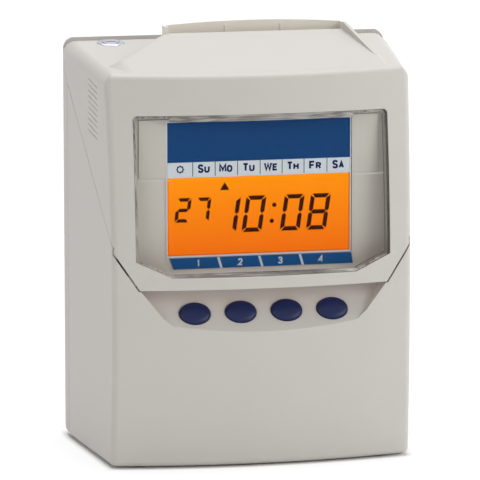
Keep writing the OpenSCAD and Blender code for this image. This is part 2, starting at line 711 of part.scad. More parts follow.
module rear_case() color(rear_c) difference() {
  union() {
    difference() {
      rear_block(0);
      rear_block(wall);
      along_x() cover_side(seam_gap);
    }
    for (s = [-1, 1], z = [screw_low_z, screw_high_z]) rod_y(s * screw_x, seam_y, back_y - wall / 2, z, post_r);
    for (s = [-1, 1]) {
      x0 = s > 0 ? ear_x + 0.4 : -ear_x - 0.4 - ear_t;
      rod_x(x0, x0 + ear_t, hinge_y, hinge_z, ear_r);
      box(x0, x0 + ear_t, hinge_y - 1.6, hinge_y + 1.6, hinge_z - 10, hinge_z);
      box(x0, x0 + ear_t, hinge_y - 1.6, back_y - wall / 2, hinge_z - 10, hinge_z - 6);
    }
    // Hook that holds the lock's cam when it is turned to the right
    hook_x = lock_x + lock_barrel_r + 0.8;
    box(hook_x, hook_x + 5, cam_y - 5.9, back_y - wall / 2, cam_z + 1.6, cam_z + 4.2);
    box(hook_x, hook_x + 5, cam_y - 5.9, cam_y - 3.6, cam_z - 1.6, cam_z + 1.7);
  }
  for (s = [-1, 1], z = [screw_low_z, screw_high_z]) {
    rod_y(s * screw_x, seam_y - 1, back_y + 1, z, screw_r + 0.2);
    rod_y(s * screw_x, back_y - head_sink, back_y + 1, z, screw_head_r + 0.3);
  }
  for (s = [-1, 1]) {
    x0 = s > 0 ? ear_x : -ear_x - 1 - ear_t;
    rod_x(x0, x0 + ear_t + 1, hinge_y, hinge_z, hinge_pin_r);
    rod_y(s * keyhole_pitch / 2, back_y - wall - 1, back_y + 1, keyhole_z, keyhole_r);
    box(s * keyhole_pitch / 2 - keyhole_slot, s * keyhole_pitch / 2 + keyhole_slot,
      back_y - wall - 1, back_y + 1, keyhole_z, keyhole_z + 9);
    rod_y(s * keyhole_pitch / 2, back_y - wall - 1, back_y + 1, keyhole_z + 9, keyhole_slot);
  }
  box(inlet_x - inlet_w / 2 - 0.2, inlet_x + inlet_w / 2 + 0.2, back_y - wall - 1, back_y + 1,
    inlet_z - inlet_h / 2 - 0.2, inlet_z + inlet_h / 2 + 0.2);
}
inlet_w = 24;
inlet_h = 15;
module power_inlet() color(dark_c) {
  depth = 15;
  difference() {
    union() {
      box(inlet_x - inlet_w / 2, inlet_x + inlet_w / 2, back_y - depth, back_y - 0.2,
        inlet_z - inlet_h / 2, inlet_z + inlet_h / 2);
      box(inlet_x - inlet_w / 2 - 2, inlet_x + inlet_w / 2 + 2, back_y - wall - 1.7, back_y - wall - 0.2,
        inlet_z - inlet_h / 2 - 2, inlet_z + inlet_h / 2 + 2);
    }
    for (s = [-1, 1]) rod_y(inlet_x + s * 4.1, back_y - depth + 2.5, back_y + 1, inlet_z, 3.9);
    box(inlet_x - 4.1, inlet_x + 4.1, back_y - depth + 2.5, back_y + 1, inlet_z - 3.9, inlet_z + 3.9);
  }
  for (s = [-1, 1]) rod_y(inlet_x + s * 4.1, back_y - depth + 2, back_y - 4, inlet_z, 1.2);
}
module case_screws() color(steel_c) for (s = [-1, 1], z = [screw_low_z, screw_high_z]) difference() {
  union() {
    rod_y(s * screw_x, back_y - head_sink, back_y - head_sink + 2, z, screw_head_r);
    rod_y(s * screw_x, seam_y - 12, back_y - head_sink + 0.1, z, screw_r);
  }
  box(s * screw_x - 2, s * screw_x + 2, back_y - head_sink + 1.2, back_y, z - 0.4, z + 0.4);
  box(s * screw_x - 0.4, s * screw_x + 0.4, back_y - head_sink + 1.2, back_y, z - 2, z + 2);
}

module display_fascia() color([0.76, 0.74, 0.69]) {
  low = panel_top_z + 0.2;
  difference() {
    union() {
      box(-fascia_half_w, fascia_half_w, fascia_y, fascia_y + fascia_t, low, fascia_top_z);
      for (s = [-1, 1]) box(min(s * (fascia_half_w - 2), s * fascia_half_w), max(s * (fascia_half_w - 2), s * fascia_half_w),
        fascia_y, fascia_y + 16, low, fascia_top_z);
      box(-fascia_half_w, fascia_half_w, fascia_y, chassis_y0, low, low + 2);
      box(-fascia_half_w, fascia_half_w, fascia_y, fascia_y + 12, fascia_top_z - 2, fascia_top_z);
      // Frame that stands a little proud round the upper half
      box(-fascia_half_w + 6, fascia_half_w - 6, fascia_y - 0.7, fascia_y + 0.1, lcd_top_z + 0.4, fascia_top_z - 2);
    }
    box(-lcd_half_w - 0.15, lcd_half_w + 0.15, fascia_y - 1, fascia_y + fascia_t + 1, lcd_low_z - 0.15, lcd_top_z + 0.15);
    box(-lcd_half_w - 0.2, lcd_half_w + 0.2, fascia_y - 2, fascia_y, lcd_top_z + 0.4, header_top_z + 0.2);
  }
}
strip_low_z = 162.3;
header_low_z = 170.2;
header_top_z = 192.6;
module header_plate() color([0.08, 0.25, 0.46])
  box(-lcd_half_w, lcd_half_w, fascia_y - plate_t, fascia_y, header_low_z + 0.1, header_top_z);
module weekday_strip() color([0.86, 0.89, 0.95])
  box(-lcd_half_w, lcd_half_w, fascia_y - plate_t, fascia_y, strip_low_z, header_low_z);
module number_strip() color([0.10, 0.29, 0.50])
  along_y(fascia_y - plate_t, fascia_y) polygon([[-lcd_half_w + 3.4, lcd_low_z - 7.6], [lcd_half_w + 2, lcd_low_z - 7.6],
    [lcd_half_w + 1, lcd_low_z - 1.5], [-lcd_half_w + 1.2, lcd_low_z - 1.5]]);
module lcd_panel() color([0.97, 0.52, 0.05])
  box(-lcd_half_w, lcd_half_w, fascia_y - 0.2, fascia_y - 0.2 + lcd_t, lcd_low_z, lcd_top_z);
light_y = fascia_y - 0.2 + lcd_t;
module backlight() color([0.93, 0.93, 0.90])
  box(-lcd_half_w + 1.5, lcd_half_w - 1.5, light_y, light_y + 6, lcd_low_z + 1, lcd_top_z - 1);
module display_board() {
  color(board_c) box(-lcd_half_w - 6, lcd_half_w + 6, light_y + 6, light_y + 7.6, lcd_low_z - 12, lcd_top_z + 4);
  color(dark_c) box(-14, 14, light_y + 7.6, light_y + 9.6, 132, 146);
}

// Chassis: two side plates, a front plate, a shelf and outward feet.
chassis_x0 = card_x - chassis_half_w;
chassis_x1 = card_x + chassis_half_w;
chassis_z = 8;
chassis_y0 = -16;
chassis_y1 = 36;
shelf_z = print_z - rod_dz - 13.5;
plate_foot = 12;
stand_points = [[chassis_x0 - 6.5, -10], [chassis_x0 - 6.5, 28], [chassis_x1 + 6.5, -10], [chassis_x1 + 6.5, 28]];
feed_y = path_y - nip / 2 - feed_r;
pinch_y = path_y + nip / 2 + pinch_r;
centre_d = gear_m * (feed_teeth + pinion_teeth) / 2;
motor_a = 215;
motor_y = feed_y + centre_d * cos(motor_a);
motor_z = feed_z + centre_d * sin(motor_a);
module side_plate(x) {
  translate([x + sheet_t / 2, 0, 0]) along_x(sheet_t / 2) difference() {
    polygon([[chassis_y0, chassis_z], [chassis_y1, chassis_z], [chassis_y1, feed_z + 14], [2, feed_z + 14], [chassis_y0, feed_z - 10]]);
    translate([8, 48]) circle(r = 15);
  }
}
module chassis() color(metal_c) difference() {
  union() {
    side_plate(chassis_x0 - sheet_t);
    side_plate(chassis_x1);
    box(chassis_x0 - 0.1, chassis_x1 + 0.1, chassis_y0, chassis_y0 + sheet_t, 30, panel_top_z + 0.2);
    box(chassis_x0 - 0.1, chassis_x1 + 0.1, chassis_y0, 14, shelf_z, shelf_z + sheet_t);
    box(chassis_x0 - sheet_t - plate_foot, chassis_x0, chassis_y0, chassis_y1, chassis_z, chassis_z + sheet_t);
    box(chassis_x1, chassis_x1 + sheet_t + plate_foot, chassis_y0, chassis_y1, chassis_z, chassis_z + sheet_t);
  }
  for (q = [[feed_y, feed_z], [pinch_y, feed_z]])
    rod_x(chassis_x0 - 5, chassis_x1 + 5, q[0], q[1], shaft_r + run_gap);
  for (s = [-1, 1]) rod_x(chassis_x0 - 5, chassis_x1 + 5, rods_y, print_z + s * rod_dz, rod_r);
  rod_x(chassis_x0 - 5, chassis_x0 + 1, motor_y, motor_z, 5);
  translate([pulley_x0, pulley_y, shelf_z - 1]) cylinder(r = 5, h = 5);
  translate([pulley_x1, pulley_y, shelf_z - 1]) cylinder(r = 2, h = 5);
  for (p = stand_points) translate([p[0], p[1], chassis_z - 1]) cylinder(r = 1.7, h = 4);
}
module chassis_screws() color(steel_c) for (p = stand_points) translate([p[0], p[1], 0]) {
  translate([0, 0, chassis_z + sheet_t]) cylinder(r = 2.6, h = 1.8);
  translate([0, 0, chassis_z - 4.5]) cylinder(r = 1.25, h = 4.5 + sheet_t + 0.1);
}

front_chute_y = path_y - chute_gap / 2 - chute_t;
rear_chute_y = path_y + chute_gap / 2;
module roller_windows(y0, y1, r) {
  for (s = [-1, 1]) box(card_x + s * roller_x - roller_l / 2 - 1, card_x + s * roller_x + roller_l / 2 + 1,
    y0 - 1, y1 + 1, feed_z - r - 1, feed_z + r + 1);
}
module front_chute() color(steel_c) difference() {
  union() {
    bend_z = chute_top_z - chute_lead;
    box(chassis_x0, chassis_x1, front_chute_y, front_chute_y + chute_t, chute_low_z, bend_z);
    translate([card_x, 0, 0]) along_x(card_w / 2 + 4)
      polygon([[front_chute_y, bend_z], [front_chute_y + chute_t, bend_z],
        [front_chute_y - chute_lead / 2 + chute_t, chute_top_z], [front_chute_y - chute_lead / 2, chute_top_z]]);
  }
  roller_windows(front_chute_y, front_chute_y + chute_t, feed_r);
  box(card_x - head_travel - 10, card_x + head_travel + 10, front_chute_y - 1, front_chute_y + 2, print_z - 7, print_z + 7);
}
module rear_chute() color(steel_c) {
  difference() {
    box(chassis_x0, chassis_x1, rear_chute_y, rear_chute_y + chute_t, chute_low_z, chute_top_z);
    roller_windows(rear_chute_y, rear_chute_y + chute_t, pinch_r);
  }
  // The floor of the chute stops the card
  box(card_x - card_w / 2 - 2, card_x + card_w / 2 + 2, front_chute_y + chute_t + 0.3, rear_chute_y + 0.1,
    chute_low_z, chute_low_z + 1.2);
}
module platen() color(dark_c)
  box(card_x - head_travel - 9, card_x + head_travel + 9, path_y - 1.4, rear_chute_y, print_z - 5, print_z + 5);

module shaft_x(y, overhang) rod_x(chassis_x0 - sheet_t - overhang, chassis_x1 + sheet_t + 2, y, feed_z, shaft_r);
module feed_shaft() color(metal_c) shaft_x(feed_y, gear_w + 2.5);
module pinch_shaft() color(metal_c) shaft_x(pinch_y, 0.5);
module rollers(y, r) for (s = [-1, 1]) difference() {
  rod_x(card_x + s * roller_x - roller_l / 2, card_x + s * roller_x + roller_l / 2, y, feed_z, r);
  rod_x(card_x - 60, card_x + 60, y, feed_z, shaft_r);
}
module feed_rollers() color(dark_c) rollers(feed_y, feed_r);
module pinch_rollers() color(dark_c) rollers(pinch_y, pinch_r);

// Involute gear outline. Angles in degrees.
function inv_deg(rb, r) = let (a = acos(min(1, rb / r))) tan(a) * 180 / PI - a;
function gear_points(teeth, tip_k) = let (
    rp = gear_m * teeth / 2,
    rb = rp * cos(20),
    root = rp - 1.25 * gear_m,
    radii = [root, max(root + 0.05, rb), mix(rb, rp, 0.6), rp, rp + 0.5 * gear_m, rp + tip_k * gear_m],
    half = 90 / teeth - backlash / 4 / rp * 180 / PI + inv_deg(rb, rp)
  ) [for (t = [0:teeth - 1], k = [0:2 * len(radii) - 1]) let (
      j = k < len(radii) ? k : 2 * len(radii) - 1 - k,
      sgn = k < len(radii) ? -1 : 1,
      a = t * 360 / teeth + sgn * (half - inv_deg(rb, max(radii[j], rb)))
    ) radii[j] * [cos(a), sin(a)]];
gear_x = chassis_x0 - sheet_t - 1 - gear_w;
mesh_a = motor_a;
module feed_gear() color([0.90, 0.88, 0.80]) translate([gear_x, feed_y, feed_z]) rotate([90, 0, 90]) difference() {
  union() {
    linear_extrude(gear_w) rotate(mesh_a) polygon(gear_points(feed_teeth, 0.95));
    cylinder(r = 5, h = gear_w + 0.9);
  }
  translate([0, 0, -1]) cylinder(r = shaft_r, h = gear_w + 3);
  for (k = [0:5]) rotate(k * 60) translate([8.6, 0, -1]) cylinder(r = 2.2, h = gear_w + 2);
}
module motor_pinion() color([0.78, 0.64, 0.32]) translate([gear_x, motor_y, motor_z]) rotate([90, 0, 90]) {
  linear_extrude(gear_w + 0.6) rotate(mesh_a + 180 + 180 / pinion_teeth) polygon(gear_points(pinion_teeth, 0.95));
  translate([0, 0, gear_w]) cylinder(r = 1, h = sheet_t + 1 + 6);
}
module feed_motor() color(steel_c) difference() {
  union() {
    rod_x(chassis_x0, chassis_x0 + 24, motor_y, motor_z, 11);
    rod_x(chassis_x0 + 24, chassis_x0 + 26, motor_y, motor_z, 4);
  }
  rod_x(chassis_x0 - 1, chassis_x0 + 8, motor_y, motor_z, 1 + run_gap);
}

module guide_rods() color(metal_c) for (s = [-1, 1])
  rod_x(chassis_x0 - sheet_t - 1.5, chassis_x1 + sheet_t + 1.5, rods_y, print_z + s * rod_dz, rod_r);
carriage_w = 24;
pulley_x0 = chassis_x0 + 10;
pulley_x1 = chassis_x1 - 10;
pulley_y = -4;
pulley_z0 = shelf_z + sheet_t + 0.6;
pulley_h = 6;
belt_r = pulley_r + 0.2;
belt_t = 1;
module print_carriage() color(dark_c) difference() {
  union() {
    box(card_x - carriage_w / 2, card_x + carriage_w / 2, rods_y - 5, rods_y + 5, print_z - rod_dz - 4.5, print_z + rod_dz + 4.5);
    box(card_x - carriage_w / 2, card_x + carriage_w / 2, pulley_y - belt_r - belt_t - 2.2, rods_y - 4,
      pulley_z0 + pulley_h + 1.2, pulley_z0 + pulley_h + 3.2);
    // Two jaws that hold the belt's front run
    for (y = [pulley_y - belt_r - belt_t - 2, pulley_y - belt_r + 0.3])
      box(card_x - 5, card_x + 5, y, y + 1.7, pulley_z0 + 1.2, pulley_z0 + pulley_h + 1.3);
  }
  for (s = [-1, 1]) rod_x(card_x - 20, card_x + 20, rods_y, print_z + s * rod_dz, rod_r + run_gap);
  box(card_x - 7.1, card_x + 7.1, rods_y - 10, rods_y + 10, print_z - 6.1, print_z + 6.1);
}
module print_head() color([0.35, 0.36, 0.38]) {
  box(card_x - 7, card_x + 7, rods_y - 9, rods_y + 9, print_z - 6, print_z + 6);
  for (k = [0:4]) box(card_x - 10, card_x + 10, rods_y - 16 + k * 1.8, rods_y - 16 + k * 1.8 + 0.9, print_z - 9, print_z + 9);
  box(card_x - 5, card_x + 5, rods_y - 16, rods_y - 8, print_z - 5, print_z + 5);
  along_y(rods_y + 9, front_chute_y - 1.6) polygon([[card_x - 2, print_z - 4], [card_x + 2, print_z - 4],
    [card_x + 2, print_z + 4], [card_x - 2, print_z + 4]]);
}
cassette_z = print_z + rod_dz + 5.5;
module ribbon_cassette() color([0.20, 0.20, 0.22]) {
  l = chassis_x0 + 4;
  r = chassis_x1 - 4;
  difference() {
    box(l, r, -14, front_chute_y - 3, cassette_z, cassette_z + 11);
    translate([knob_x, knob_y, cassette_z - 1]) cylinder(r = 3 + run_gap, h = 20);
  }
  for (x = [l, r - 5]) box(x, x + 5, front_chute_y - 5.5, front_chute_y - 1.6, print_z - 8, cassette_z + 0.1);
  box(l + 4.9, r - 4.9, front_chute_y - 1.3, front_chute_y - 0.9, print_z - 5, print_z + 6);
  for (x = [l, r - 5]) box(x, x + 5, front_chute_y - 1.7, front_chute_y - 0.9, print_z - 5, print_z + 6);
}
knob_x = chassis_x1 - 20;
knob_y = 0;
module ribbon_knob() color([0.45, 0.46, 0.48]) translate([knob_x, knob_y, cassette_z + 4]) {
  cylinder(r = 3, h = 7.3);
  translate([0, 0, 7.2]) cylinder(r = 7, h = 3);
  translate([-5.5, -0.8, 10.1]) cube([11, 1.6, 3]);
}
module belt_loop(r) {
  translate([pulley_x0, pulley_y]) circle(r = r);
  translate([pulley_x1, pulley_y]) circle(r = r);
  translate([pulley_x0, pulley_y - r]) square([pulley_x1 - pulley_x0, 2 * r]);
}
module carriage_belt() color(dark_c) translate([0, 0, pulley_z0 + 1.2]) linear_extrude(pulley_h - 2) difference() {
  belt_loop(belt_r + belt_t);
  belt_loop(belt_r);
}
module pulley(x, bore) translate([x, pulley_y, pulley_z0]) difference() {
  union() {
    cylinder(r = pulley_r, h = pulley_h);
    cylinder(r = pulley_r + 2.2, h = 0.8);
    translate([0, 0, pulley_h - 0.4]) cylinder(r = pulley_r + 2.2, h = 0.8);
  }
  translate([0, 0, -1]) cylinder(r = bore, h = pulley_h + 3);
}
motor2_h = 26;
module drive_pulley() color([0.90, 0.88, 0.80]) {
  pulley(pulley_x0, 1);
  translate([pulley_x0, pulley_y, shelf_z - 8]) cylinder(r = 1, h = pulley_z0 - shelf_z + 8 + pulley_h);
}
module idler_pulley() color([0.90, 0.88, 0.80]) pulley(pulley_x1, 2 + run_gap);
module idler_post() color(metal_c) translate([pulley_x1, pulley_y, shelf_z]) {
  cylinder(r = 2, h = pulley_z0 - shelf_z + pulley_h + 0.8);
  translate([0, 0, -1.2]) cylinder(r = 3.4, h = 1.2);
}
module carriage_motor() color(steel_c) difference() {
  union() {
    translate([pulley_x0, pulley_y, shelf_z - motor2_h]) cylinder(r = 8.6, h = motor2_h);
    translate([pulley_x0, pulley_y, shelf_z - motor2_h - 2]) cylinder(r = 3.5, h = 2.1);
  }
  translate([pulley_x0, pulley_y, shelf_z - 9]) cylinder(r = 1 + run_gap, h = 10);
}

board_y = chassis_y0 - 5;
module main_board() {
  color(board_c) box(chassis_x0 + 2, chassis_x1 - 2, board_y - 1.6, board_y, 14, 88);
  color(dark_c) {
    box(-10, 12, board_y - 3.8, board_y - 1.59, 44, 66);
    box(24, 40, board_y - 3.4, board_y - 1.59, 30, 38);
    box(chassis_x0 + 6, chassis_x0 + 22, board_y - 8, board_y - 1.59, 72, 80);
    box(30, 56, board_y - 8, board_y - 1.59, 74, 80);
  }
}
module board_spacers() color(metal_c)
  for (x = [chassis_x0 + 8, chassis_x1 - 8], z = [34, 84]) rod_y(x, board_y, chassis_y0, z, 2.5);
module transformer() {
  x = chassis_x0 - sheet_t - plate_foot - 11.2;
  color(steel_c) box(x - 9, x + 9, -16, 20, base_z + wall, base_z + wall + 40);
  color([0.62, 0.30, 0.12]) box(x - 12.5, x + 12.5, -8, 12, base_z + wall + 8, base_z + wall + 32);
}
module battery_pack() color([0.20, 0.42, 0.30]) {
  r = 5.8;
  x = chassis_x1 + sheet_t + r + 0.8;
  z = chassis_z + sheet_t;
  cell = 6;
  for (k = [0:2]) rod_y(x, k * (cell + 0.2), k * (cell + 0.2) + cell, z + r + 0.4, r);
  rod_y(x, -0.6, 3 * cell + 1, z + r + 0.4, r - 1);
  box(x - 4, x + 4, 0, 3 * cell + 0.4, z, z + 3);
}
module buzzer() color(dark_c) {
  y = 2;
  z = vent_low_z + vent_count * vent_pitch / 2;
  translate([-half_w(y), y, z]) rotate([0, 0, taper_a]) translate([wall + 0.1, 0, 0]) rotate([0, 90, 0]) difference() {
    cylinder(r = 13, h = 7);
    translate([0, 0, -1]) cylinder(r = 9, h = 3);
  }
}

rear_case();
lower_case();
upper_cover();
card_guide();
window_lens();
lock_barrel();
lock_nut();
lock_core();
lock_cam();
hinge_pins();
display_fascia();
header_plate();
weekday_strip();
number_strip();
lcd_panel();
backlight();
display_board();
button_1();
button_2();
button_3();
button_4();
button_board();
chassis();
front_chute();
rear_chute();
platen();
feed_shaft();
feed_rollers();
feed_gear();
pinch_shaft();
pinch_rollers();
feed_motor();
motor_pinion();
guide_rods();
print_carriage();
print_head();
ribbon_cassette();
ribbon_knob();
carriage_motor();
drive_pulley();
idler_pulley();
idler_post();
carriage_belt();
main_board();
board_spacers();
transformer();
battery_pack();
buzzer();
power_inlet();
rubber_feet();
case_screws();
chassis_screws();
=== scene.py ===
import json
import math

import bmesh
import bpy
import numpy as np
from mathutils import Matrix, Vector


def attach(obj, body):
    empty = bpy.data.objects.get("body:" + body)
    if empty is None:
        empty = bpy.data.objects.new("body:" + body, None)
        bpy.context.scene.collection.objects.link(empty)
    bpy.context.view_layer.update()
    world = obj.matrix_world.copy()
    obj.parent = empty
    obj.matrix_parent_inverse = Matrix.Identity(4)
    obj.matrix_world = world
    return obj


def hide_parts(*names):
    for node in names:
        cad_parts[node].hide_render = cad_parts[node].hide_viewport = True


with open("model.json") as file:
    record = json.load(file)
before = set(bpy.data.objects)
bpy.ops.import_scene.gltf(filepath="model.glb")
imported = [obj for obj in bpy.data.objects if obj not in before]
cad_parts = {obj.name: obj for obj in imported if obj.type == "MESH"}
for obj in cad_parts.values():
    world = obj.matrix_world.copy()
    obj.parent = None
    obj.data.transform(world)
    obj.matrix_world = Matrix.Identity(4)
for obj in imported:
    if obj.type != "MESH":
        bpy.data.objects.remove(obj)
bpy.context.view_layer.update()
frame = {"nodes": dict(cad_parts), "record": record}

nodes = frame["nodes"]

# Sizes are millimetres, in the frame of the CAD model: X right, Y to the back, Z up. Where the CAD model
# has the same size, it has the same value. A piece becomes metres when it is finished.
MM = 0.001

# Case: half widths, places from front to back, heights, slopes and radii
REAR_HALF_W, CORNER_HALF_W = 94.0, 84.5
BACK_Y, SEAM_Y, CORNER_Y = 58.5, 39.4, -50.2
FRONT_BULGE, RIDGE_SETBACK, FOOT_SETBACK = 8.6, 14.4, 5.0
BASE_Z, BELLY_Z, RIDGE_Z, RIM_Z = 1.0, 90.0, 219.6, 230.0
SHOULDER_SLOPE, DECK_SLOPE = 0.094, 0.2665
WALL, CORNER_R, SIDE_TOP_R, RIDGE_R, BOTTOM_R = 2.5, 5.0, 8.0, 3.0, 3.0
REAR_BOTTOM_R, REAR_EDGE_R = 16.0, 6.0
RIDGE_Y = CORNER_Y + RIDGE_SETBACK
TAPER = (REAR_HALF_W - CORNER_HALF_W) / (SEAM_Y - CORNER_Y)
TAPER_A = math.atan(TAPER)
BULGE_A = math.atan(2 * FRONT_BULGE / CORNER_HALF_W)

# Seams between the shells, and the cover's chin
SEAM_FRONT_Z, SEAM_REAR_Z, SEAM_GAP, SIDE_GROOVE = 123.0, 206.0, 0.4, 0.6
SEAM_SLOPE = (SEAM_REAR_Z - SEAM_FRONT_Z) / (SEAM_Y - CORNER_Y)
CHIN_Z, CHIN_HALF_W = 101.5, 70.0

# Hinge: its axis, the cover's bead round it, pins, ears and lugs, and the angle from the seam to the bead
HINGE_Y, HINGE_Z, BEAD_R, PIN_R, RUN_GAP = 50.2, 224.0, 4.0, 1.25, 0.05
EAR_R, EAR_X, EAR_T, LUG_GAP, LUG_HALF_T = 2.2, 84.8, 3.4, 0.4, 1.6
BEAD_A = (math.atan2(HINGE_Z - SEAM_REAR_Z, HINGE_Y - SEAM_Y)
          - math.asin(BEAD_R / math.hypot(HINGE_Y - SEAM_Y, HINGE_Z - SEAM_REAR_Z)))

# Card guide, and the deck that leads up to it with a fin at its right
CARD_X, GUIDE_W, GUIDE_END_Z, GUIDE_ARCH = 11.0, 105.0, 238.2, 2.1
LIP_Y, LIP_T, SLOT_D, BACK_PLATE_T = 20.0, 0.8, 5.0, 3.4
GUIDE_LEFT, GUIDE_RIGHT = CARD_X - GUIDE_W / 2, CARD_X + GUIDE_W / 2
GUIDE_FRONT, GUIDE_BACK = LIP_Y + LIP_T, LIP_Y + LIP_T + SLOT_D + BACK_PLATE_T
FAN_LEFT, FAN_RIGHT, FAN_Y, FIN_H, FIN_T = 78.0, 73.0, -16.0, 4.6, 2.0

# Window
WINDOW_HALF_W, WINDOW_TOP, WINDOW_SIDE, WINDOW_LOW, WINDOW_FLAT = 72.0, 197.3, 117.4, 108.5, 52.0
WINDOW_R, LENS_SINK, LENS_GAP, SHEET_T = 2.4, 0.6, 0.15, 1.5

# Display: the fascia's front, its printed plates, and the heights of what is on it
FASCIA_Y, PLATE_T, INK_T = -37.75, 0.8, 0.1
PRINT_Y, GLYPH_Y = FASCIA_Y - PLATE_T - INK_T / 2, FASCIA_Y - 0.2
LCD_LOW, LCD_TOP, LCD_HALF_W, LCD_EDGE = 117.9, 161.5, 51.8, 0.6
NUMBERS_LOW, NUMBERS_TOP, DAYS_LOW, DAYS_TOP = 110.3, 116.4, 162.3, 170.2
DAY_EDGES = [-37.6, -24.9, -12.2, 0.6, 13.1, 25.6, 38.7]

# Button panel and buttons
PANEL_TILT, PANEL_LOW_Z, PANEL_T = 40.0, 77.3, 2.5
BUTTON_U, BUTTON_PITCH, BUTTON_GAP = 12.8, 26.0, 0.3
BUTTON_W, BUTTON_H, BUTTON_CROWN, DOME_H = 17.6, 13.5, 2.6, 1.7
BUTTON_XS = (np.arange(4) - 1.5) * BUTTON_PITCH

# Lock
LOCK_X, LOCK_Y, COLLAR_R, BARREL_R, CORE_R, LOCK_LEN = -68.0, 44.0, 7.9, 6.0, 4.5, 17.0

# Louvres at the sides
LOUVRE_YS, LOUVRE_RISE, LOUVRE_SLIT, LOUVRE_ZS = (-20.0, -2.0), 1.6, 0.38, 183.3 + 3.2 * np.arange(10)

# Case screws: holes and sunk heads, the front shell's bosses with their ribs, the rear shell's posts
SCREW_X, SCREW_ZS, SCREW_R, HEAD_R, HEAD_DEPTH = 80.0, (25.0, 172.0), 1.7, 3.2, 4.0
BOSS_R, BOSS_LEN, RIB_HALF_T, POST_R = 4.0, 14.0, 1.5, 4.5

# Wall keyholes, mains inlet and feet
KEYHOLE_X, KEYHOLE_Z, KEYHOLE_R, KEYHOLE_SLOT, KEYHOLE_RISE = 50.0, 180.0, 4.5, 2.3, 9.0
INLET_X, INLET_Z, INLET_HALF_W, INLET_HALF_H = -50.0, 34.0, 12.2, 7.7
FOOT_R, FOOT_POINTS = 7.0, [(-68, -36), (68, -36), (-72, 26), (72, 26)]

# Steps of the case's outline round a corner and along half the front, and lengths well past the case
CORNER_STEPS, FRONT_STEPS = 10, 26
FAR, OUT = 300.0, 120.0

# Camera and lamps

# The photograph's view: from the left of the middle and a little from above, with a long lens
VIEW_TARGET = Vector((0, 0.00425, 0.120))
VIEW_AZIMUTH = math.radians(-12.2)
VIEW_ELEVATION = math.radians(9.9)
VIEW_DISTANCE, VIEW_LENS, VIEW_SENSOR = 2.541, 336.7, 36
VIEW_SHIFT = (-0.0058, -0.0077)


def aim(thing, target):
    """Turns a lamp or camera so that it looks at target, with its top up."""
    thing.rotation_euler = (Vector(target) - thing.location).to_track_quat("-Z", "Y").to_euler()


def add_camera():
    """The camera, set back from its target by the view's azimuth and elevation."""
    data = bpy.data.cameras.new("photo_view")
    data.lens, data.sensor_width = VIEW_LENS, VIEW_SENSOR
    data.shift_x, data.shift_y = VIEW_SHIFT
    data.clip_end = 20
    camera = bpy.data.objects.new("photo_view", data)
    bpy.context.scene.collection.objects.link(camera)
    flat, rise = math.cos(VIEW_ELEVATION), math.sin(VIEW_ELEVATION)
    towards = Vector((math.sin(VIEW_AZIMUTH) * flat, -math.cos(VIEW_AZIMUTH) * flat, rise))
    camera.location = VIEW_TARGET + VIEW_DISTANCE * towards
    aim(camera, VIEW_TARGET)
    bpy.context.scene.camera = camera


def add_lamp(name, place, side, power, tint=(1, 1, 1)):
    """A square soft lamp of side metres and power watts that looks at the object's middle."""
    data = bpy.data.lights.new(name, "AREA")
    data.shape = "SQUARE"
    data.size, data.energy, data.color = side, power, tint
    lamp = bpy.data.objects.new(name, data)
    bpy.context.scene.collection.objects.link(lamp)
    lamp.location = place
    aim(lamp, (0, 0, 0.12))


add_camera()
bpy.context.scene.view_settings.view_transform = "Standard"

# Finishes


def paint(red, green, blue):
    """Linear colour of a shade given as 0 to 255 on the screen, by the screen's own curve."""
    share = np.array([red, green, blue]) / 255
    linear = np.where(share > 0.04045, ((share + 0.055) / 1.055) ** 2.4, share / 12.92)
    return (*[float(v) for v in linear], 1.0)


def shade(colour, factor):
    """A colour made lighter or darker by a factor."""
    return (*[min(1.0, c * factor) for c in colour[:3]], 1.0)


class Wire:
    """An output socket in a node tree. Arithmetic on it adds the Math nodes that work it out."""

    def __init__(self, tree, socket):
        self.tree, self.socket = tree, socket

    def __add__(self, other):
        return self.tree.math("ADD", self, other)

    def __sub__(self, other):
        return self.tree.math("SUBTRACT", self, other)

    def __rsub__(self, other):
        return self.tree.math("SUBTRACT", other, self)

    def __mul__(self, other):
        return self.tree.math("MULTIPLY", self, other)

    def __truediv__(self, other):
        return self.tree.math("DIVIDE", self, other)

    def __pow__(self, other):
        return self.tree.math("POWER", self, other)

    def __gt__(self, other):
        return self.tree.math("GREATER_THAN", self, other)

    __radd__ = __add__
    __rmul__ = __mul__


class Tree:
    """A node tree written as Python: node() adds a node and gives the wire of one of its outputs."""

    def __init__(self, owner):
        owner.use_nodes = True
        self.nodes, self.links = owner.node_tree.nodes, owner.node_tree.links

    def put(self, socket, value):
        """Links a wire to a socket, or sets the socket's own value."""
        if isinstance(value, Wire):
            self.links.new(value.socket, socket)
        else:
            socket.default_value = value

    def node(self, kind, settings=(), values=(), out=0):
        """Adds a node: first its settings, then the values or wires of its sockets."""
        node = self.nodes.new(kind)
        for name, value in dict(settings).items():
            if name == "stops":
                for element, (spot, colour) in zip(list(node.color_ramp.elements), value):
                    element.position, element.color = spot, colour
                for spot, colour in value[2:]:
                    node.color_ramp.elements.new(spot).color = colour
            else:
                setattr(node, name, value)
        for name, value in dict(values).items():
            self.put(node.inputs[name], value)
        return Wire(self, node.outputs[out])

    def math(self, operation, first, second):
        """One Math node on two values or wires."""
        return self.node("ShaderNodeMath", {"operation": operation}, {0: first, 1: second})

    def clamp(self, value):
        """A value kept between 0 and 1."""
        return self.node("ShaderNodeClamp", values={0: value})

    def shown_rays(self):
        """1 for the rays that show the background: from the camera, through glass and off gloss."""
        camera, glass, gloss = (self.node("ShaderNodeLightPath", out=f"Is {kind} Ray")
                                for kind in ("Camera", "Transmission", "Glossy"))
        return self.math("MAXIMUM", self.math("MAXIMUM", camera, glass), gloss)


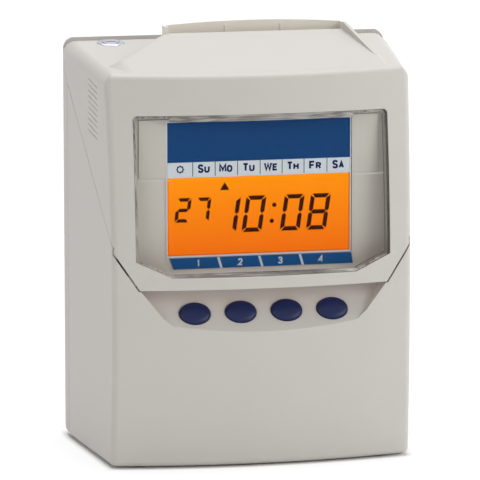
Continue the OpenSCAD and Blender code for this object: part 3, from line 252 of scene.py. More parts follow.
class Finish(Tree):
    """A material made of nodes round one Principled shader."""

    def __init__(self, name, **constants):
        self.material = bpy.data.materials.new(name)
        super().__init__(self.material)
        self.shader = self.nodes["Principled BSDF"]
        self.set(**constants)
        self.place = self.node("ShaderNodeTexCoord", out="Object")

    def set(self, **values):
        """Sets or links sockets of the shader: base_color=... is its Base Color."""
        for name, value in values.items():
            title = " ".join(w.upper() if w == "ior" else w.capitalize() for w in name.split("_"))
            self.put(self.shader.inputs[title], value)

    def stretched(self, scale):
        """The place on the object with its axes scaled, so that a pattern on it runs in long lines."""
        return self.node("ShaderNodeMapping", values={0: self.place, 3: scale})

    def noise(self, size, detail=2.0, place=None):
        """Soft noise from 0 to 1 whose lumps are about size millimetres."""
        return self.node("ShaderNodeTexNoise", {"noise_dimensions": "3D"},
                         {"Vector": place or self.place, "Scale": 1 / (size * MM), "Detail": detail})

    def blend(self, share, first, second):
        """The colour between first and second."""
        return self.node("ShaderNodeMix", {"data_type": "RGBA"}, {0: share, 6: first, 7: second}, out=2)

    def along(self, axis):
        """The place on the object along an axis, in metres."""
        return self.node("ShaderNodeSeparateXYZ", values={0: self.place}, out="XYZ".index(axis))

    def relief(self, height, depth, rounding, strength=1.0):
        """Normal of a surface raised by height times depth millimetres, with its edges rounded."""
        edges = self.node("ShaderNodeBevel", {"samples": 4}, {"Radius": rounding * MM})
        self.set(normal=self.node("ShaderNodeBump", values={
            "Height": height, "Distance": depth * MM, "Strength": strength, "Normal": edges}))

    def mix_in(self, share, other):
        """The surface shows the Principled shader by share, and the other shader elsewhere."""
        own = Wire(self, self.shader.outputs[0])
        mixed = self.node("ShaderNodeMixShader", values={0: share, 1: other, 2: own})
        self.put(self.nodes["Material Output"].inputs["Surface"], mixed)


def moulded(name, colour, rough=0.5, grain=0.35, depth=0.012, rounding=0.3, cloud=0.02, specular=0.4):
    """Moulded plastic: a fine eroded grain, faint clouds in the colour, softened edges.

    grain, depth and rounding are millimetres, and cloud is how far the colour strays."""
    finish = Finish(name, specular_ior_level=specular)
    fine = finish.noise(grain, 3.0)
    broad = finish.noise(45, 3.0)
    finish.set(base_color=finish.blend(broad, shade(colour, 1 - cloud), shade(colour, 1 + cloud)),
               roughness=(fine - 0.5) * 0.16 + (broad - 0.5) * 0.06 + rough)
    finish.relief(fine, depth, rounding)
    return finish.material


def printed(name, colour, cloud=0.03):
    """A smooth printed plate."""
    return moulded(name, colour, rough=0.4, grain=0.2, depth=0.004, rounding=0.08, cloud=cloud, specular=0.12)


def ink(name, colour):
    """Flat ink with next to no shine."""
    return moulded(name, colour, rough=0.5, grain=0.2, depth=0.001, rounding=0.02, specular=0.05)


def metal(name, level, rough=0.3, stretch=(1, 1, 1), line=0.25, rounding=0.15, depth=0.004):
    """Metal with fine lines left by rolling or turning, and a faint film on it.

    level is its red, green and blue, and line, rounding and depth are millimetres."""
    finish = Finish(name, metallic=1.0)
    lines = finish.noise(line, 2.0, finish.stretched(stretch))
    film = finish.noise(14, 4.0)
    finish.set(base_color=finish.blend(film, shade(level, 0.88), shade(level, 1.06)),
               roughness=(lines - 0.5) * 0.2 + (film - 0.5) * 0.12 + rough)
    finish.relief(lines, depth, rounding)
    return finish.material


def printed_board(name):
    """Green solder mask over copper tracks on a grid, with tinned pads."""
    finish = Finish(name, specular_ior_level=0.5)
    cells = finish.node("ShaderNodeTexVoronoi", {"distance": "MANHATTAN", "feature": "F1"},
                        {"Vector": finish.place, "Scale": 220, "Randomness": 0.35})
    upright = finish.node("ShaderNodeMapping", values={0: finish.place, 2: (math.pi / 2, 0, 0)})
    tracks = finish.node("ShaderNodeTexBrick", {"offset": 0.5, "squash": 1.0},
                         {"Vector": upright, "Scale": 90, "Mortar Size": 0.06, "Brick Width": 0.9,
                          "Row Height": 0.28}, out=1)
    pads = 1 - (cells > 0.16)
    mask = finish.blend(tracks, paint(22, 92, 58), paint(34, 118, 74))
    finish.set(base_color=finish.blend(pads, mask, paint(188, 190, 186)),
               roughness=pads * 0.1 + 0.32, metallic=pads * 0.8)
    finish.relief(tracks + pads * 0.5, depth=0.03, rounding=0.1, strength=0.6)
    return finish.material


def orange_display(name):
    """Liquid crystal lit from behind: orange, brighter at the top, with its reflector's grain, and a deeper
    tone along its sides and its bottom edge."""
    finish = Finish(name, roughness=0.3, specular_ior_level=0.04, emission_strength=0.88)
    across, height = finish.along("X"), finish.along("Z")
    up = (height - LCD_LOW * MM) * (1 / ((LCD_TOP - LCD_LOW) * MM))
    grain = finish.noise(0.5, 2.0)
    tone = finish.blend(up + (grain - 0.5) * 0.15, paint(240, 108, 0), paint(255, 146, 0))
    at_side = across * across > ((LCD_HALF_W - LCD_EDGE) * MM) ** 2
    at_bottom = 1 - (height > (LCD_LOW + LCD_EDGE) * MM)
    tone = finish.blend(finish.clamp((at_side + at_bottom) * 0.6), tone, paint(196, 70, 0))
    finish.set(base_color=finish.blend(0.72, tone, (0, 0, 0, 1)), emission_color=tone)
    return finish.material


def clear_plastic(name, tint):
    """Clear plastic: see-through, with a mirror's share that grows towards the rim of the view."""
    finish = Finish(name, base_color=(0.96, 0.97, 0.98, 1), metallic=1.0)
    grey = finish.noise(30, 2.0)
    finish.set(roughness=(grey - 0.5) * 0.02 + 0.02)
    through = finish.node("ShaderNodeBsdfTransparent", values={0: tint})
    rim = finish.node("ShaderNodeLayerWeight", values={0: 0.5}, out="Facing")
    finish.mix_in(rim ** 5 * 0.9 + 0.003, through)
    return finish.material


def rim_painted_reflections(name):
    """The window's rim: clear plastic seen through its thickness. Long streaks of light and dark are painted
    reflections in its colour. They run level over and under the window and upright at its sides, and
    its right side is darker with painted shade."""
    finish = Finish(name, roughness=0.12, specular_ior_level=0.8)
    # painted reflections: streaks of light and dark in the rim's colour
    level = finish.noise(1.3, 2.0, finish.stretched((0.03, 1, 1)))
    upright = finish.noise(0.9, 2.0, finish.stretched((1, 1, 0.02)))
    across = finish.along("X")
    side = across * across > ((WINDOW_FLAT + 1) * MM) ** 2
    painted_streak = level + side * (upright - level)
    broad = finish.noise(22, 1.0)
    # painted shade: the rim is darker along its right side
    painted_shade_at_right = across > (WINDOW_HALF_W - 2) * MM
    tone = (painted_streak - 0.5) * 1.5 + (broad - 0.5) * 1.2 + 0.5 - painted_shade_at_right * 0.9
    # the ramp turns the painted reflection streaks and the painted shade into the rim's colour
    stops = [(0.0, paint(70, 62, 60)), (1.0, paint(214, 211, 206)), (0.38, paint(140, 134, 130)),
             (0.62, paint(184, 179, 174))]
    finish.set(base_color=finish.node("ShaderNodeValToRGB", {"stops": stops}, {0: tone}))
    finish.mix_in(finish.clamp((painted_streak - 0.5) * 0.6 + 0.62),
                  finish.node("ShaderNodeBsdfTransparent", values={0: (0.96, 0.965, 0.96, 1)}))
    return finish.material


finishes = {
    "case": moulded("case_cream", paint(214, 210, 204), rough=0.46),
    "rear_shell": moulded("rear_cream", paint(208, 204, 198)),
    "guide": moulded("guide_beige", paint(242, 236, 226), rough=0.42),
    "clear": clear_plastic("clear_window", (0.965, 0.97, 0.965, 1)),
    # the rim's colour holds painted reflections and painted shade
    "clear_rim": rim_painted_reflections("clear_rim"),
    "lock_metal": metal("lock_chrome", (0.46, 0.47, 0.53), rough=0.2, stretch=(1, 1, 8)),
    "steel": metal("steel", (0.55, 0.56, 0.58), rough=0.34, stretch=(0.1, 1, 1)),
    "fascia": moulded("fascia_cream", paint(224, 219, 211), rough=0.42, cloud=0.012),
    "blue_plate": printed("blue_print", paint(6, 72, 134)),
    "white_strip": printed("pale_print", paint(236, 243, 252), cloud=0.01),
    "blue_strip": printed("blue_strip", paint(16, 92, 160)),
    "lcd": orange_display("lcd_orange"),
    "diffuser": moulded("milky_plastic", paint(238, 236, 228), rough=0.55),
    "board": printed_board("circuit_board"),
    "button": moulded("navy_rubber", paint(18, 32, 80), rough=0.32, grain=0.22, depth=0.004, rounding=0.25,
                      cloud=0.05, specular=0.3),
    "zinc": metal("zinc_plate", (0.66, 0.68, 0.70), rough=0.36, line=6.0, rounding=0.2, depth=0.002),
    "rubber": moulded("black_rubber", paint(38, 38, 40), rough=0.72, grain=0.5, depth=0.03),
    "gear_plastic": moulded("acetal", paint(232, 226, 208), rough=0.38, grain=0.3, depth=0.004, rounding=0.1),
    "brass": metal("brass", (0.80, 0.62, 0.30), rough=0.28, stretch=(1, 4, 4)),
    "dark_plastic": moulded("black_plastic", paint(42, 42, 45), rough=0.42, grain=0.3, depth=0.01),
    "grey_plastic": moulded("grey_plastic", paint(118, 120, 124), rough=0.45, grain=0.3, depth=0.01),
    "head": metal("head_alloy", (0.30, 0.31, 0.33), rough=0.42, line=0.4),
    "iron": metal("core_iron", (0.35, 0.35, 0.36), rough=0.5, stretch=(1, 30, 1), line=1.0),
    "battery": moulded("battery_sleeve", paint(46, 104, 74), rough=0.3, grain=0.4, depth=0.002),
    "ink_maroon": ink("ink_maroon", paint(66, 14, 2)),
    "ink_blue": ink("ink_blue", paint(26, 44, 96)),
    "ink_white": ink("ink_white", paint(222, 234, 248)),
    # painted shade: a dark line for the window's far wall, which is in shade
    "painted_shade_line": ink("painted_shade_line", paint(128, 122, 118)),
    # painted highlight: a light line along the step in the window's wings
    "painted_highlight_line": ink("painted_highlight_line", paint(236, 236, 228)),
}
for row in frame["record"]["subparts"]:
    slots = nodes[row["node"]].data.materials
    slots.clear()
    slots.append(finishes[row["material_slot"]])
nodes["number_strip"].data.materials[0] = finishes["blue_strip"]

# Making meshes


def band(rows, cols):
    """Quads between the rows of a grid of points, row after row, with each row closed on itself."""
    low = np.arange(rows - 1)[:, None] * cols
    here = np.arange(cols)
    there = (here + 1) % cols
    return np.stack([low + here, low + there, low + there + cols, low + here + cols], -1).reshape(-1, 4)


def end_face(count, start):
    """Quads across a ring whose points i and count - 1 - i lie opposite each other."""
    near = np.arange(count // 2 - (1 - count % 2))
    quads = np.stack([near, near + 1, count - 2 - near, count - 1 - near], -1) + start
    if count % 2 == 0:
        return quads.tolist()
    return quads[:-1].tolist() + [[start + count // 2 - 1, start + count // 2, start + count // 2 + 1]]


def shape(points, faces):
    """A loose mesh object in millimetres, its doubles merged and its faces turned outwards."""
    mesh = bpy.data.meshes.new("shape")
    mesh.from_pydata(np.asarray(points, float).reshape(-1, 3).tolist(), [], [list(f) for f in faces])
    grown = bmesh.new()
    grown.from_mesh(mesh)
    bmesh.ops.remove_doubles(grown, verts=grown.verts, dist=1e-4)
    bmesh.ops.recalc_face_normals(grown, faces=grown.faces)
    grown.to_mesh(mesh)
    grown.free()
    thing = bpy.data.objects.new("shape", mesh)
    bpy.context.scene.collection.objects.link(thing)
    return thing


def solid(rings):
    """A closed solid through rings of points, an array of rings by points by 3."""
    rings = np.asarray(rings, float)
    rows, cols = rings.shape[:2]
    faces = band(rows, cols).tolist() + end_face(cols, 0) + end_face(cols, (rows - 1) * cols)
    return shape(rings, faces)


def turned(profile, steps):
    """A closed profile of (radius, height) points carried round the Z axis, back to where it started."""
    profile = np.array([*profile, profile[0]])
    turn = np.linspace(0, 2 * np.pi, steps, endpoint=False)
    rings = np.stack([profile[:, :1] * np.cos(turn), profile[:, :1] * np.sin(turn),
                      np.broadcast_to(profile[:, 1:], (len(profile), steps))], -1)
    return shape(rings, band(len(profile), steps).tolist())


def prism(outline, start, end, axis):
    """A flat outline pushed along an axis from start to end; it gives the other two axes in order."""
    outline = np.asarray(outline, float)
    count = len(outline)
    points = np.empty((2, count, 3))
    others = [k for k in range(3) if k != axis]
    points[:, :, others] = outline
    points[0, :, axis], points[1, :, axis] = start, end
    return shape(points, band(2, count).tolist() + [list(range(count)), list(range(count, 2 * count))])


def block(low, high):
    """A box between its lowest and its highest corner."""
    (x0, y0, z0), (x1, y1, z1) = low, high
    return prism([(x0, y0), (x1, y0), (x1, y1), (x0, y1)], z0, z1, 2)


def oval(width, height, steps=64):
    """Points round an ellipse about the origin."""
    turn = np.linspace(0, 2 * np.pi, steps, endpoint=False)
    return np.stack([width / 2 * np.cos(turn), height / 2 * np.sin(turn)], -1)


def arc(middle, radius, start, end, steps):
    """Points on an arc about middle, from one angle to the other in degrees."""
    turn = np.radians(np.linspace(start, end, steps + 1))
    return np.asarray(middle) + radius * np.stack([np.cos(turn), np.sin(turn)], -1)


def rod(start, end, radius, axis, sides=48):
    """A round bar between two points that differ along one axis."""
    middle = [start[k] for k in range(3) if k != axis]
    return prism(middle + oval(2 * radius, 2 * radius, sides), start[axis], end[axis], axis)


def side_span(side, inner, outer):
    """Lowest and highest x of a span beside the middle: side is -1 at the left and 1 at the right."""
    return sorted((side * inner, side * outer))


def points_of(thing):
    """The places of a shape's points, as an array of points by 3."""
    points = np.empty(len(thing.data.vertices) * 3)
    thing.data.vertices.foreach_get("co", points)
    return points.reshape(-1, 3)


def place_points(thing, points):
    """Puts the points of a shape at new places."""
    thing.data.vertices.foreach_set("co", points.ravel())
    thing.data.update()
    return thing


def moved(thing, turn=(0, 0, 0), shift=(0, 0, 0)):
    """Turns a shape by angles in degrees about X, Y and Z in that order, then shifts it."""
    points = points_of(thing)
    for axis, angle in enumerate(np.radians(turn)):
        a, b = [(1, 2), (2, 0), (0, 1)][axis]
        points[:, [a, b]] = np.stack([points[:, a] * np.cos(angle) - points[:, b] * np.sin(angle),
                                      points[:, a] * np.sin(angle) + points[:, b] * np.cos(angle)], -1)
    return place_points(thing, points + shift)


def carve(base, how, *tools):
    """base with the tools taken away (DIFFERENCE), joined on (UNION) or kept in common (INTERSECT)."""
    for tool in tools:
        step = base.modifiers.new("carve", "BOOLEAN")
        step.operation, step.object, step.solver = how, tool, "MANIFOLD"
    bpy.context.view_layer.update()
    result = bpy.data.meshes.new_from_object(base.evaluated_get(bpy.context.evaluated_depsgraph_get()))
    base.modifiers.clear()
    base.data = result
    for tool in tools:
        bpy.data.objects.remove(tool)
    return base


def cut(base, *tools):
    """base without the tools."""
    return carve(base, "DIFFERENCE", *tools)


def join(base, *tools):
    """base and the tools in one."""
    return carve(base, "UNION", *tools)


def keep(base, *tools):
    """What base and all the tools have in common."""
    return carve(base, "INTERSECT", *tools)


def finish_piece(thing, name, body, slot, replaced=(), smooth=30, finish=None):
    """Names a shape, makes it metres, gives it its finish and body, and hides what it replaces. It is shaded
    smooth, apart from edges that turn by more than smooth degrees."""
    thing.name = thing.data.name = name
    place_points(thing, points_of(thing) * MM)
    mesh = thing.data
    mesh.materials.clear()
    mesh.materials.append(finishes[finish or slot])
    mesh.polygons.foreach_set("material_index", np.zeros(len(mesh.polygons), int))
    mesh.shade_smooth()
    mesh.set_sharp_from_angle(angle=math.radians(smooth))
    even = thing.modifiers.new("even_normals", "WEIGHTED_NORMAL")
    even.keep_sharp = True
    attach(thing, body)
    if replaced:
        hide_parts(*replaced)


def gather(name, shapes, body, slot, finish=None):
    """Several loose shapes made one piece."""
    first = shapes[0]
    grown = bmesh.new()
    for thing in shapes:
        grown.from_mesh(thing.data)
    grown.to_mesh(first.data)
    grown.free()
    for thing in shapes[1:]:
        bpy.data.objects.remove(thing)
    finish_piece(first, name, body, slot, finish=finish)


def filled_in(path):
    """A path of places with more set evenly between them, about 3 mm apart.

    A place is one or more (x, z) points, and the distance is the one between the places' first points."""
    path = np.asarray(path, float)
    parts = [path[:1]]
    for start, end in zip(path[:-1], path[1:]):
        count = max(1, int(np.linalg.norm(end[0] - start[0]) / 3))
        parts.append(start + (end - start) * np.linspace(0, 1, count + 1)[1:, None, None])
    return np.concatenate(parts)


def stroke(path, width, front, depth=INK_T):
    """A flat bar swept along a path of (x, z) points: its rings are rectangles, mitred at the bends."""
    path = np.asarray(path, float)
    steps = np.diff(path, axis=0)
    steps /= np.linalg.norm(steps, axis=1, keepdims=True)
    before, after = np.concatenate([steps[:1], steps]), np.concatenate([steps, steps[-1:]])
    if np.allclose(path[0], path[-1]):
        before[0], after[-1] = steps[-1], steps[0]
    across = before + after
    across = np.stack([-across[:, 1], across[:, 0]], -1)
    across *= (2 / np.maximum(0.5, (across ** 2).sum(1, keepdims=True))) * width / 2
    ends = np.stack([path + across, path - across], 1)
    rings = np.empty((len(path), 4, 3))
    rings[:, :2, [0, 2]], rings[:, 2:, [0, 2]] = ends, ends[:, ::-1]
    rings[:, :2, 1], rings[:, 2:, 1] = front, front + depth
    return solid(rings)


def plate(outline, front, thickness=INK_T):
    """A thin raised mark whose face looks at the viewer."""
    return prism(outline, front, front + thickness, 1)


# The case's form


def half_w(y):
    """Half width: steady behind the seam, tapering to the front corners before it."""
    return np.where(y > SEAM_Y, REAR_HALF_W, CORNER_HALF_W + TAPER * (y - CORNER_Y))


def setback(z):
    """How far the front lies behind the belly: a parabola above and a flatter one below."""
    return np.where(z > BELLY_Z, RIDGE_SETBACK * ((z - BELLY_Z) / (RIDGE_Z - BELLY_Z)) ** 2,
                    FOOT_SETBACK * ((BELLY_Z - z) / BELLY_Z) ** 2)


def shoulder_z(y):
    """Height of the shoulders, which rise evenly towards the back."""
    return RIDGE_Z + SHOULDER_SLOPE * (y - RIDGE_Y)


def deck_z(y):
    """Height of the deck, which rises faster than the shoulders from the same ridge."""
    return RIDGE_Z + DECK_SLOPE * (y - RIDGE_Y)


def half_outline(inset, z, tail):
    """Right half of the front half's outline at each height z, from the tail round the corner to the middle.

    Straight side, then an arc of the corner's radius from the side's taper to the front's slope, then a
    parabola that bulges out between the corners: (cx, cy) is the arc's middle and (ex, ey) its end, and t
    falls from 1 at the corner to 0 in the middle. Arrays in, an array of heights by points by (x, y) out."""
    inset, z, tail = (np.broadcast_to(np.asarray(v, float), np.shape(z)).reshape(-1, 1)
                      for v in (inset, z, tail))
    r = np.maximum(CORNER_R - inset, 1)
    cy = CORNER_Y + setback(z) + inset + r
    cx = half_w(cy) - (inset + r) / math.cos(TAPER_A)
    turn = np.linspace(TAPER_A, math.pi / 2 - BULGE_A, CORNER_STEPS + 1)
    ex, ey = cx + r * math.sin(BULGE_A), cy - r * math.cos(BULGE_A)
    t = np.linspace(1, 0, FRONT_STEPS + 1)[1:]
    before = np.where(tail > SEAM_Y + 4, SEAM_Y + 0.3, tail - 2)
    x = np.concatenate([half_w(tail) - inset, half_w(before) - inset, cx + r * np.cos(turn), ex * t], 1)
    y = np.concatenate([tail, before, cy - r * np.sin(turn), ey - FRONT_BULGE * (1 - t ** 2)], 1)
    return np.stack([x, y], -1)


def front_y(x, z):
    """Y of the case's front at x and height z, by the parabola of half_outline."""
    cy = CORNER_Y + setback(z) + CORNER_R
    ex = half_w(cy) - CORNER_R / math.cos(TAPER_A) + CORNER_R * math.sin(BULGE_A)
    return cy - CORNER_R * math.cos(BULGE_A) - FRONT_BULGE * (1 - (x / ex) ** 2)


def mirrored(half):
    """Full rings from right halves that end on the middle, from the left rear round to the right rear."""
    other = half[:, -2::-1] * np.array([-1, 1, 1])
    return np.concatenate([half, other], 1)[:, ::-1]


def tail_at(d, drop, end):
    """Y of the form's rear end at each drop below the shoulder: cut off at end, or round the hinge's bead.

    A form that hollows another one reaches 3 mm past it."""
    if end > 0:
        return np.full(np.shape(drop), end + 3 if d > 0 else end)
    if d > 0:
        return np.full(np.shape(drop), HINGE_Y + BEAD_R + 3)
    over = np.maximum(0, shoulder_z(HINGE_Y + 2) - drop - HINGE_Z)
    return HINGE_Y + np.sqrt(np.maximum(0.1, BEAD_R ** 2 - over ** 2))


def front_form(d, end=0):
    """The front half of the case as one solid, inset by d: bottom rounding, level rings, top rounding.

    In the top rounding every point of the ring has its own radius. It changes round the corner, from the
    side's radius to the ridge's."""
    turn = np.radians(np.linspace(0, 90, 9))
    r, low = max(BOTTOM_R - d, 0.5), BASE_Z + d
    levels = np.linspace(8, SEAM_REAR_Z, 45)
    z = np.concatenate([low + r * (1 - np.cos(turn)), levels])
    inset = np.concatenate([d + r * (1 - np.sin(turn)), np.full(len(levels), d)])
    below_bead = np.full(len(z), 20.0)
    half = half_outline(inset, z, tail_at(d, below_bead, end))
    rings = [np.concatenate([half, np.broadcast_to(z[:, None, None], (*half.shape[:2], 1))], -1)]
    share = np.concatenate([[0, 0], np.linspace(1, 5, CORNER_STEPS + 1) / 5, np.ones(FRONT_STEPS)])
    radius = np.maximum(SIDE_TOP_R + (RIDGE_R - SIDE_TOP_R) * share - d, 0.5)
    each = np.arange(len(share))
    for a in np.radians(np.linspace(90, 0, 13)):
        drop = d + radius * (1 - math.cos(a))
        ring = half_outline(d + radius * (1 - math.sin(a)), RIDGE_Z - drop, tail_at(d, drop, end))[each, each]
        rings.append(np.column_stack([ring, shoulder_z(ring[:, 1]) - drop])[None])
    return solid(mirrored(np.concatenate(rings)))


def deck_form(d):
    """The deck that leads cards from the front ridge up to the slot: sloping flanks whose upper edges are
    rounded, with a radius that grows along the left edge until the deck melts into the shoulder.

    The arrays run round its plan from the right front over the two rear corners to the left front: flank is
    the flank's slope, dip how far the corner is drawn down, and edge_r the radius of its edge. An inset by d
    moves flanks, foot and top by a little more than d, because they are sloping."""
    foot, lip_back = 2.5, GUIDE_FRONT - (1.6 if d > 0 else 0)
    plan = np.array([[FAN_RIGHT + 3, RIDGE_Y + 2 * d], [FAN_RIGHT, FAN_Y], [GUIDE_RIGHT, lip_back],
                     [GUIDE_LEFT, lip_back], [2.5 - FAN_LEFT, FAN_Y], [4.5 - FAN_LEFT, RIDGE_Y + 2 * d]])
    side, flank = np.array([1, 1, 1, -1, -1, -1]), np.array([0.8, 0.8, 0.8, 1.2, 1.2, 1.2])
    dip, edge_r = np.array([0.6, 0, 0, 0, 0.3, 1.0]), max(2.6 - d, 0.3) * np.array([1, 1, 1, 1, 2.3, 3.2])
    x, y = plan[:, 0] - side * 1.4 * d, plan[:, 1]
    fall = deck_z(y) - shoulder_z(y) + foot
    rings = [np.stack([x + side * flank * fall, y, shoulder_z(y) - foot - 1.2 * d], -1)]
    for a in np.radians(np.linspace(65, 0, 8)):
        over = flank * (1 - math.cos(a)) + math.sin(a) - 0.7
        rings.append(np.stack([x + side * edge_r * over, y,
                               deck_z(y) - dip - 1.05 * d - edge_r * (1 - math.cos(a))], -1))
    return solid(rings)


def half_space(y, z, angle, above):
    """A big block under or over a plane that leans back by angle degrees, through the point at y and z."""
    low, high = (0, FAR) if above else (-FAR, 0)
    return moved(block((-OUT - 20, -FAR - 20, low), (OUT + 20, FAR + 20, high)), (angle, 0, 0), (0, y, z))


def window_outline(g):
    """Outline of the window seen from the front, grown by g, with its two upper corners rounded."""
    r, x, z = WINDOW_R + g, WINDOW_HALF_W - WINDOW_R, WINDOW_TOP - WINDOW_R
    return [(-WINDOW_FLAT - g * 0.4, WINDOW_LOW - g), (WINDOW_FLAT + g * 0.4, WINDOW_LOW - g),
            (WINDOW_HALF_W + g, WINDOW_SIDE - g * 0.6), *arc((x, z), r, 0, 90, 8).tolist(),
            *arc((-x, z), r, 90, 180, 8).tolist(), (-WINDOW_HALF_W - g, WINDOW_SIDE - g * 0.6)]


def chin(g):
    """The cover's chin seen from the front, grown by g all round, as a block through the case's front.

    Its slanting edges move out by g when their ends move by 1.2 and 0.53 times g."""
    inner, edge, low = CORNER_HALF_W - WALL, CORNER_HALF_W + 1.2 * g, CHIN_HALF_W + 0.53 * g
    behind, above = CORNER_Y + WALL + 0.1 + 1.5 * g, SEAM_FRONT_Z + 5
    return prism([(-edge, SEAM_FRONT_Z), (-low, CHIN_Z - g), (low, CHIN_Z - g), (edge, SEAM_FRONT_Z),
                  (inner, above), (-inner, above)], -FAR, behind, 1)


def at_lock(thing):
    """Sets a shape made about the lock's axis square to the left shoulder."""
    tilt = math.degrees(math.atan(SHOULDER_SLOPE))
    return moved(thing, (tilt, 0, 0), (LOCK_X, LOCK_Y, shoulder_z(LOCK_Y)))


def make_cover():
    """The cover's shell. The front form with the deck is hollowed and cut off along the seam, and round the
    hinge's bead. Chin, card box, fin, ledge, ears and the lock's seat are joined on. Window, card slot,
    lock hole, pin holes and louvres are cut out."""
    cover = join(front_form(0), deck_form(0))
    cut(cover, front_form(WALL), deck_form(WALL))
    lean = 72
    bead_y, bead_z = BEAD_R * math.sin(math.radians(lean)), BEAD_R * math.cos(math.radians(lean))
    cut(cover, half_space(SEAM_Y, SEAM_REAR_Z, math.degrees(math.atan(SEAM_SLOPE)), False),
        half_space(SEAM_Y, SEAM_REAR_Z, math.degrees(BEAD_A), False),
        half_space(HINGE_Y + bead_y, HINGE_Z - bead_z, lean, False))
    join(cover, keep(cut(front_form(0), front_form(WALL)), chin(0)))
    top, under_slot, behind = RIM_Z - 0.8, 190, HINGE_Y - 3
    join(cover, prism([(GUIDE_FRONT, shoulder_z(LIP_Y) - WALL - 0.5), (GUIDE_FRONT, top),
                       (GUIDE_BACK + 2, top), (behind, shoulder_z(behind) - 0.2),
                       (behind, shoulder_z(behind) - WALL)], GUIDE_LEFT, GUIDE_RIGHT, 0))
    join(cover, make_fin())
    join(cover, keep(front_form(WALL / 2),
                     block((-CHIN_HALF_W + 1, -FAR, CHIN_Z), (CHIN_HALF_W - 1, CORNER_Y + 2, CHIN_Z + 2))))
    for side in (-1, 1):
        x0, x1 = side_span(side, EAR_X - EAR_T, EAR_X)
        arm = HINGE_Y - 7
        join(cover, rod((x0, HINGE_Y, HINGE_Z), (x1, HINGE_Y, HINGE_Z), EAR_R, 0),
             block((x0, arm, HINGE_Z - EAR_R), (x1, HINGE_Y, shoulder_z(arm) - WALL + 0.3)))
    join(cover, at_lock(rod((0, 0, -WALL - 1.5), (0, 0, 1 - WALL), COLLAR_R + 1.5, 2)))
    cut(cover, prism(window_outline(LENS_GAP), -FAR, FASCIA_Y - 1.3, 1),
        block((GUIDE_LEFT, GUIDE_FRONT, under_slot), (GUIDE_RIGHT, GUIDE_BACK, FAR)),
        at_lock(rod((0, 0, -10), (0, 0, 10), BARREL_R + RUN_GAP, 2)))
    for side in (-1, 1):
        x0, x1 = side_span(side, EAR_X - EAR_T, EAR_X)
        cut(cover, rod((x0 - 1, HINGE_Y, HINGE_Z), (x1 + 1, HINGE_Y, HINGE_Z), PIN_R + RUN_GAP, 0))
        x0, x1 = side_span(side, EAR_X + 0.1, EAR_X + EAR_T + 1)
        cut(cover, block((x0, HINGE_Y - 3, HINGE_Z - 4), (x1, HINGE_Y + 6, HINGE_Z + EAR_R + 0.3)))
        cut(cover, *make_louvres(side))
    finish_piece(cover, "cover_shell", "cover", "case", ["upper_cover"])


def make_louvres(side):
    """Narrow slits through the cover's side that fall towards the front."""
    front, back = LOUVRE_YS
    inside, outside = 78, 98
    x0, x1 = side_span(side, inside, outside)
    return [prism([(front, z - LOUVRE_RISE), (back, z + LOUVRE_RISE), (back, z + LOUVRE_RISE + LOUVRE_SLIT),
                   (front, z - LOUVRE_RISE + LOUVRE_SLIT)], x0, x1, 0) for z in LOUVRE_ZS]


def make_fin():
    """The thin fin at the deck's right edge, tallest at the guide and running out at the front."""
    base, tip = np.array([GUIDE_RIGHT - 0.2, GUIDE_FRONT]), np.array([FAN_RIGHT - 0.2, FAN_Y])
    length = float(np.hypot(*(tip - base)))
    angle = math.degrees(math.atan2(tip[1] - base[1], tip[0] - base[0]))
    crest = deck_z(base[1]) + FIN_H
    fin = prism([(0, deck_z(base[1]) - 4), (0, crest - 0.6), (2, crest - 1.2), (length, deck_z(tip[1])),
                 (length, deck_z(tip[1]) - 2)], -FIN_T, 0, 1)
    return moved(fin, (0, 0, angle), (base[0], base[1], 0))


# The lower case and its button panel


def recess_outline(g, top):
    """The button panel's recess from the front, grown by g: narrow at its foot and wide under the chin."""
    half = [(44 + g, 66), (50 + g, 79.5 - g * 0.6), (57.8 + g, 86.3 - g * 0.4),
            (CHIN_HALF_W + g, CHIN_Z - g * 0.4), (CHIN_HALF_W + g, top)]
    return half + [(-x, z) for x, z in half[::-1]]


def panel_y(z):
    """Y of the button panel, which leans back from the case's front by its tilt."""
    return float(front_y(0, PANEL_LOW_Z)) + (z - PANEL_LOW_Z) * math.tan(math.radians(PANEL_TILT))


def before_panel(low, high, front, behind=0.0):
    """All that lies between two heights before the panel, or up to behind millimetres past it."""
    return prism([(front, low), (panel_y(low) + behind, low), (panel_y(high) + behind, high), (front, high)],
                 -OUT, OUT, 0)


def recess():
    """The room of the recess: its outline through the front as far as the panel."""
    return keep(prism(recess_outline(0, CHIN_Z + 12), -FAR, 0, 1), before_panel(60, CHIN_Z + 14, -90))


def at_panel(thing, x=0.0, u=0.0):
    """Sets a shape made on a flat bench (Y up the panel, Z out of it) onto the button panel."""
    moved(thing, shift=(x, u, 0))
    return moved(thing, (90 - PANEL_TILT, 0, 0), (0, panel_y(PANEL_LOW_Z), PANEL_LOW_Z))


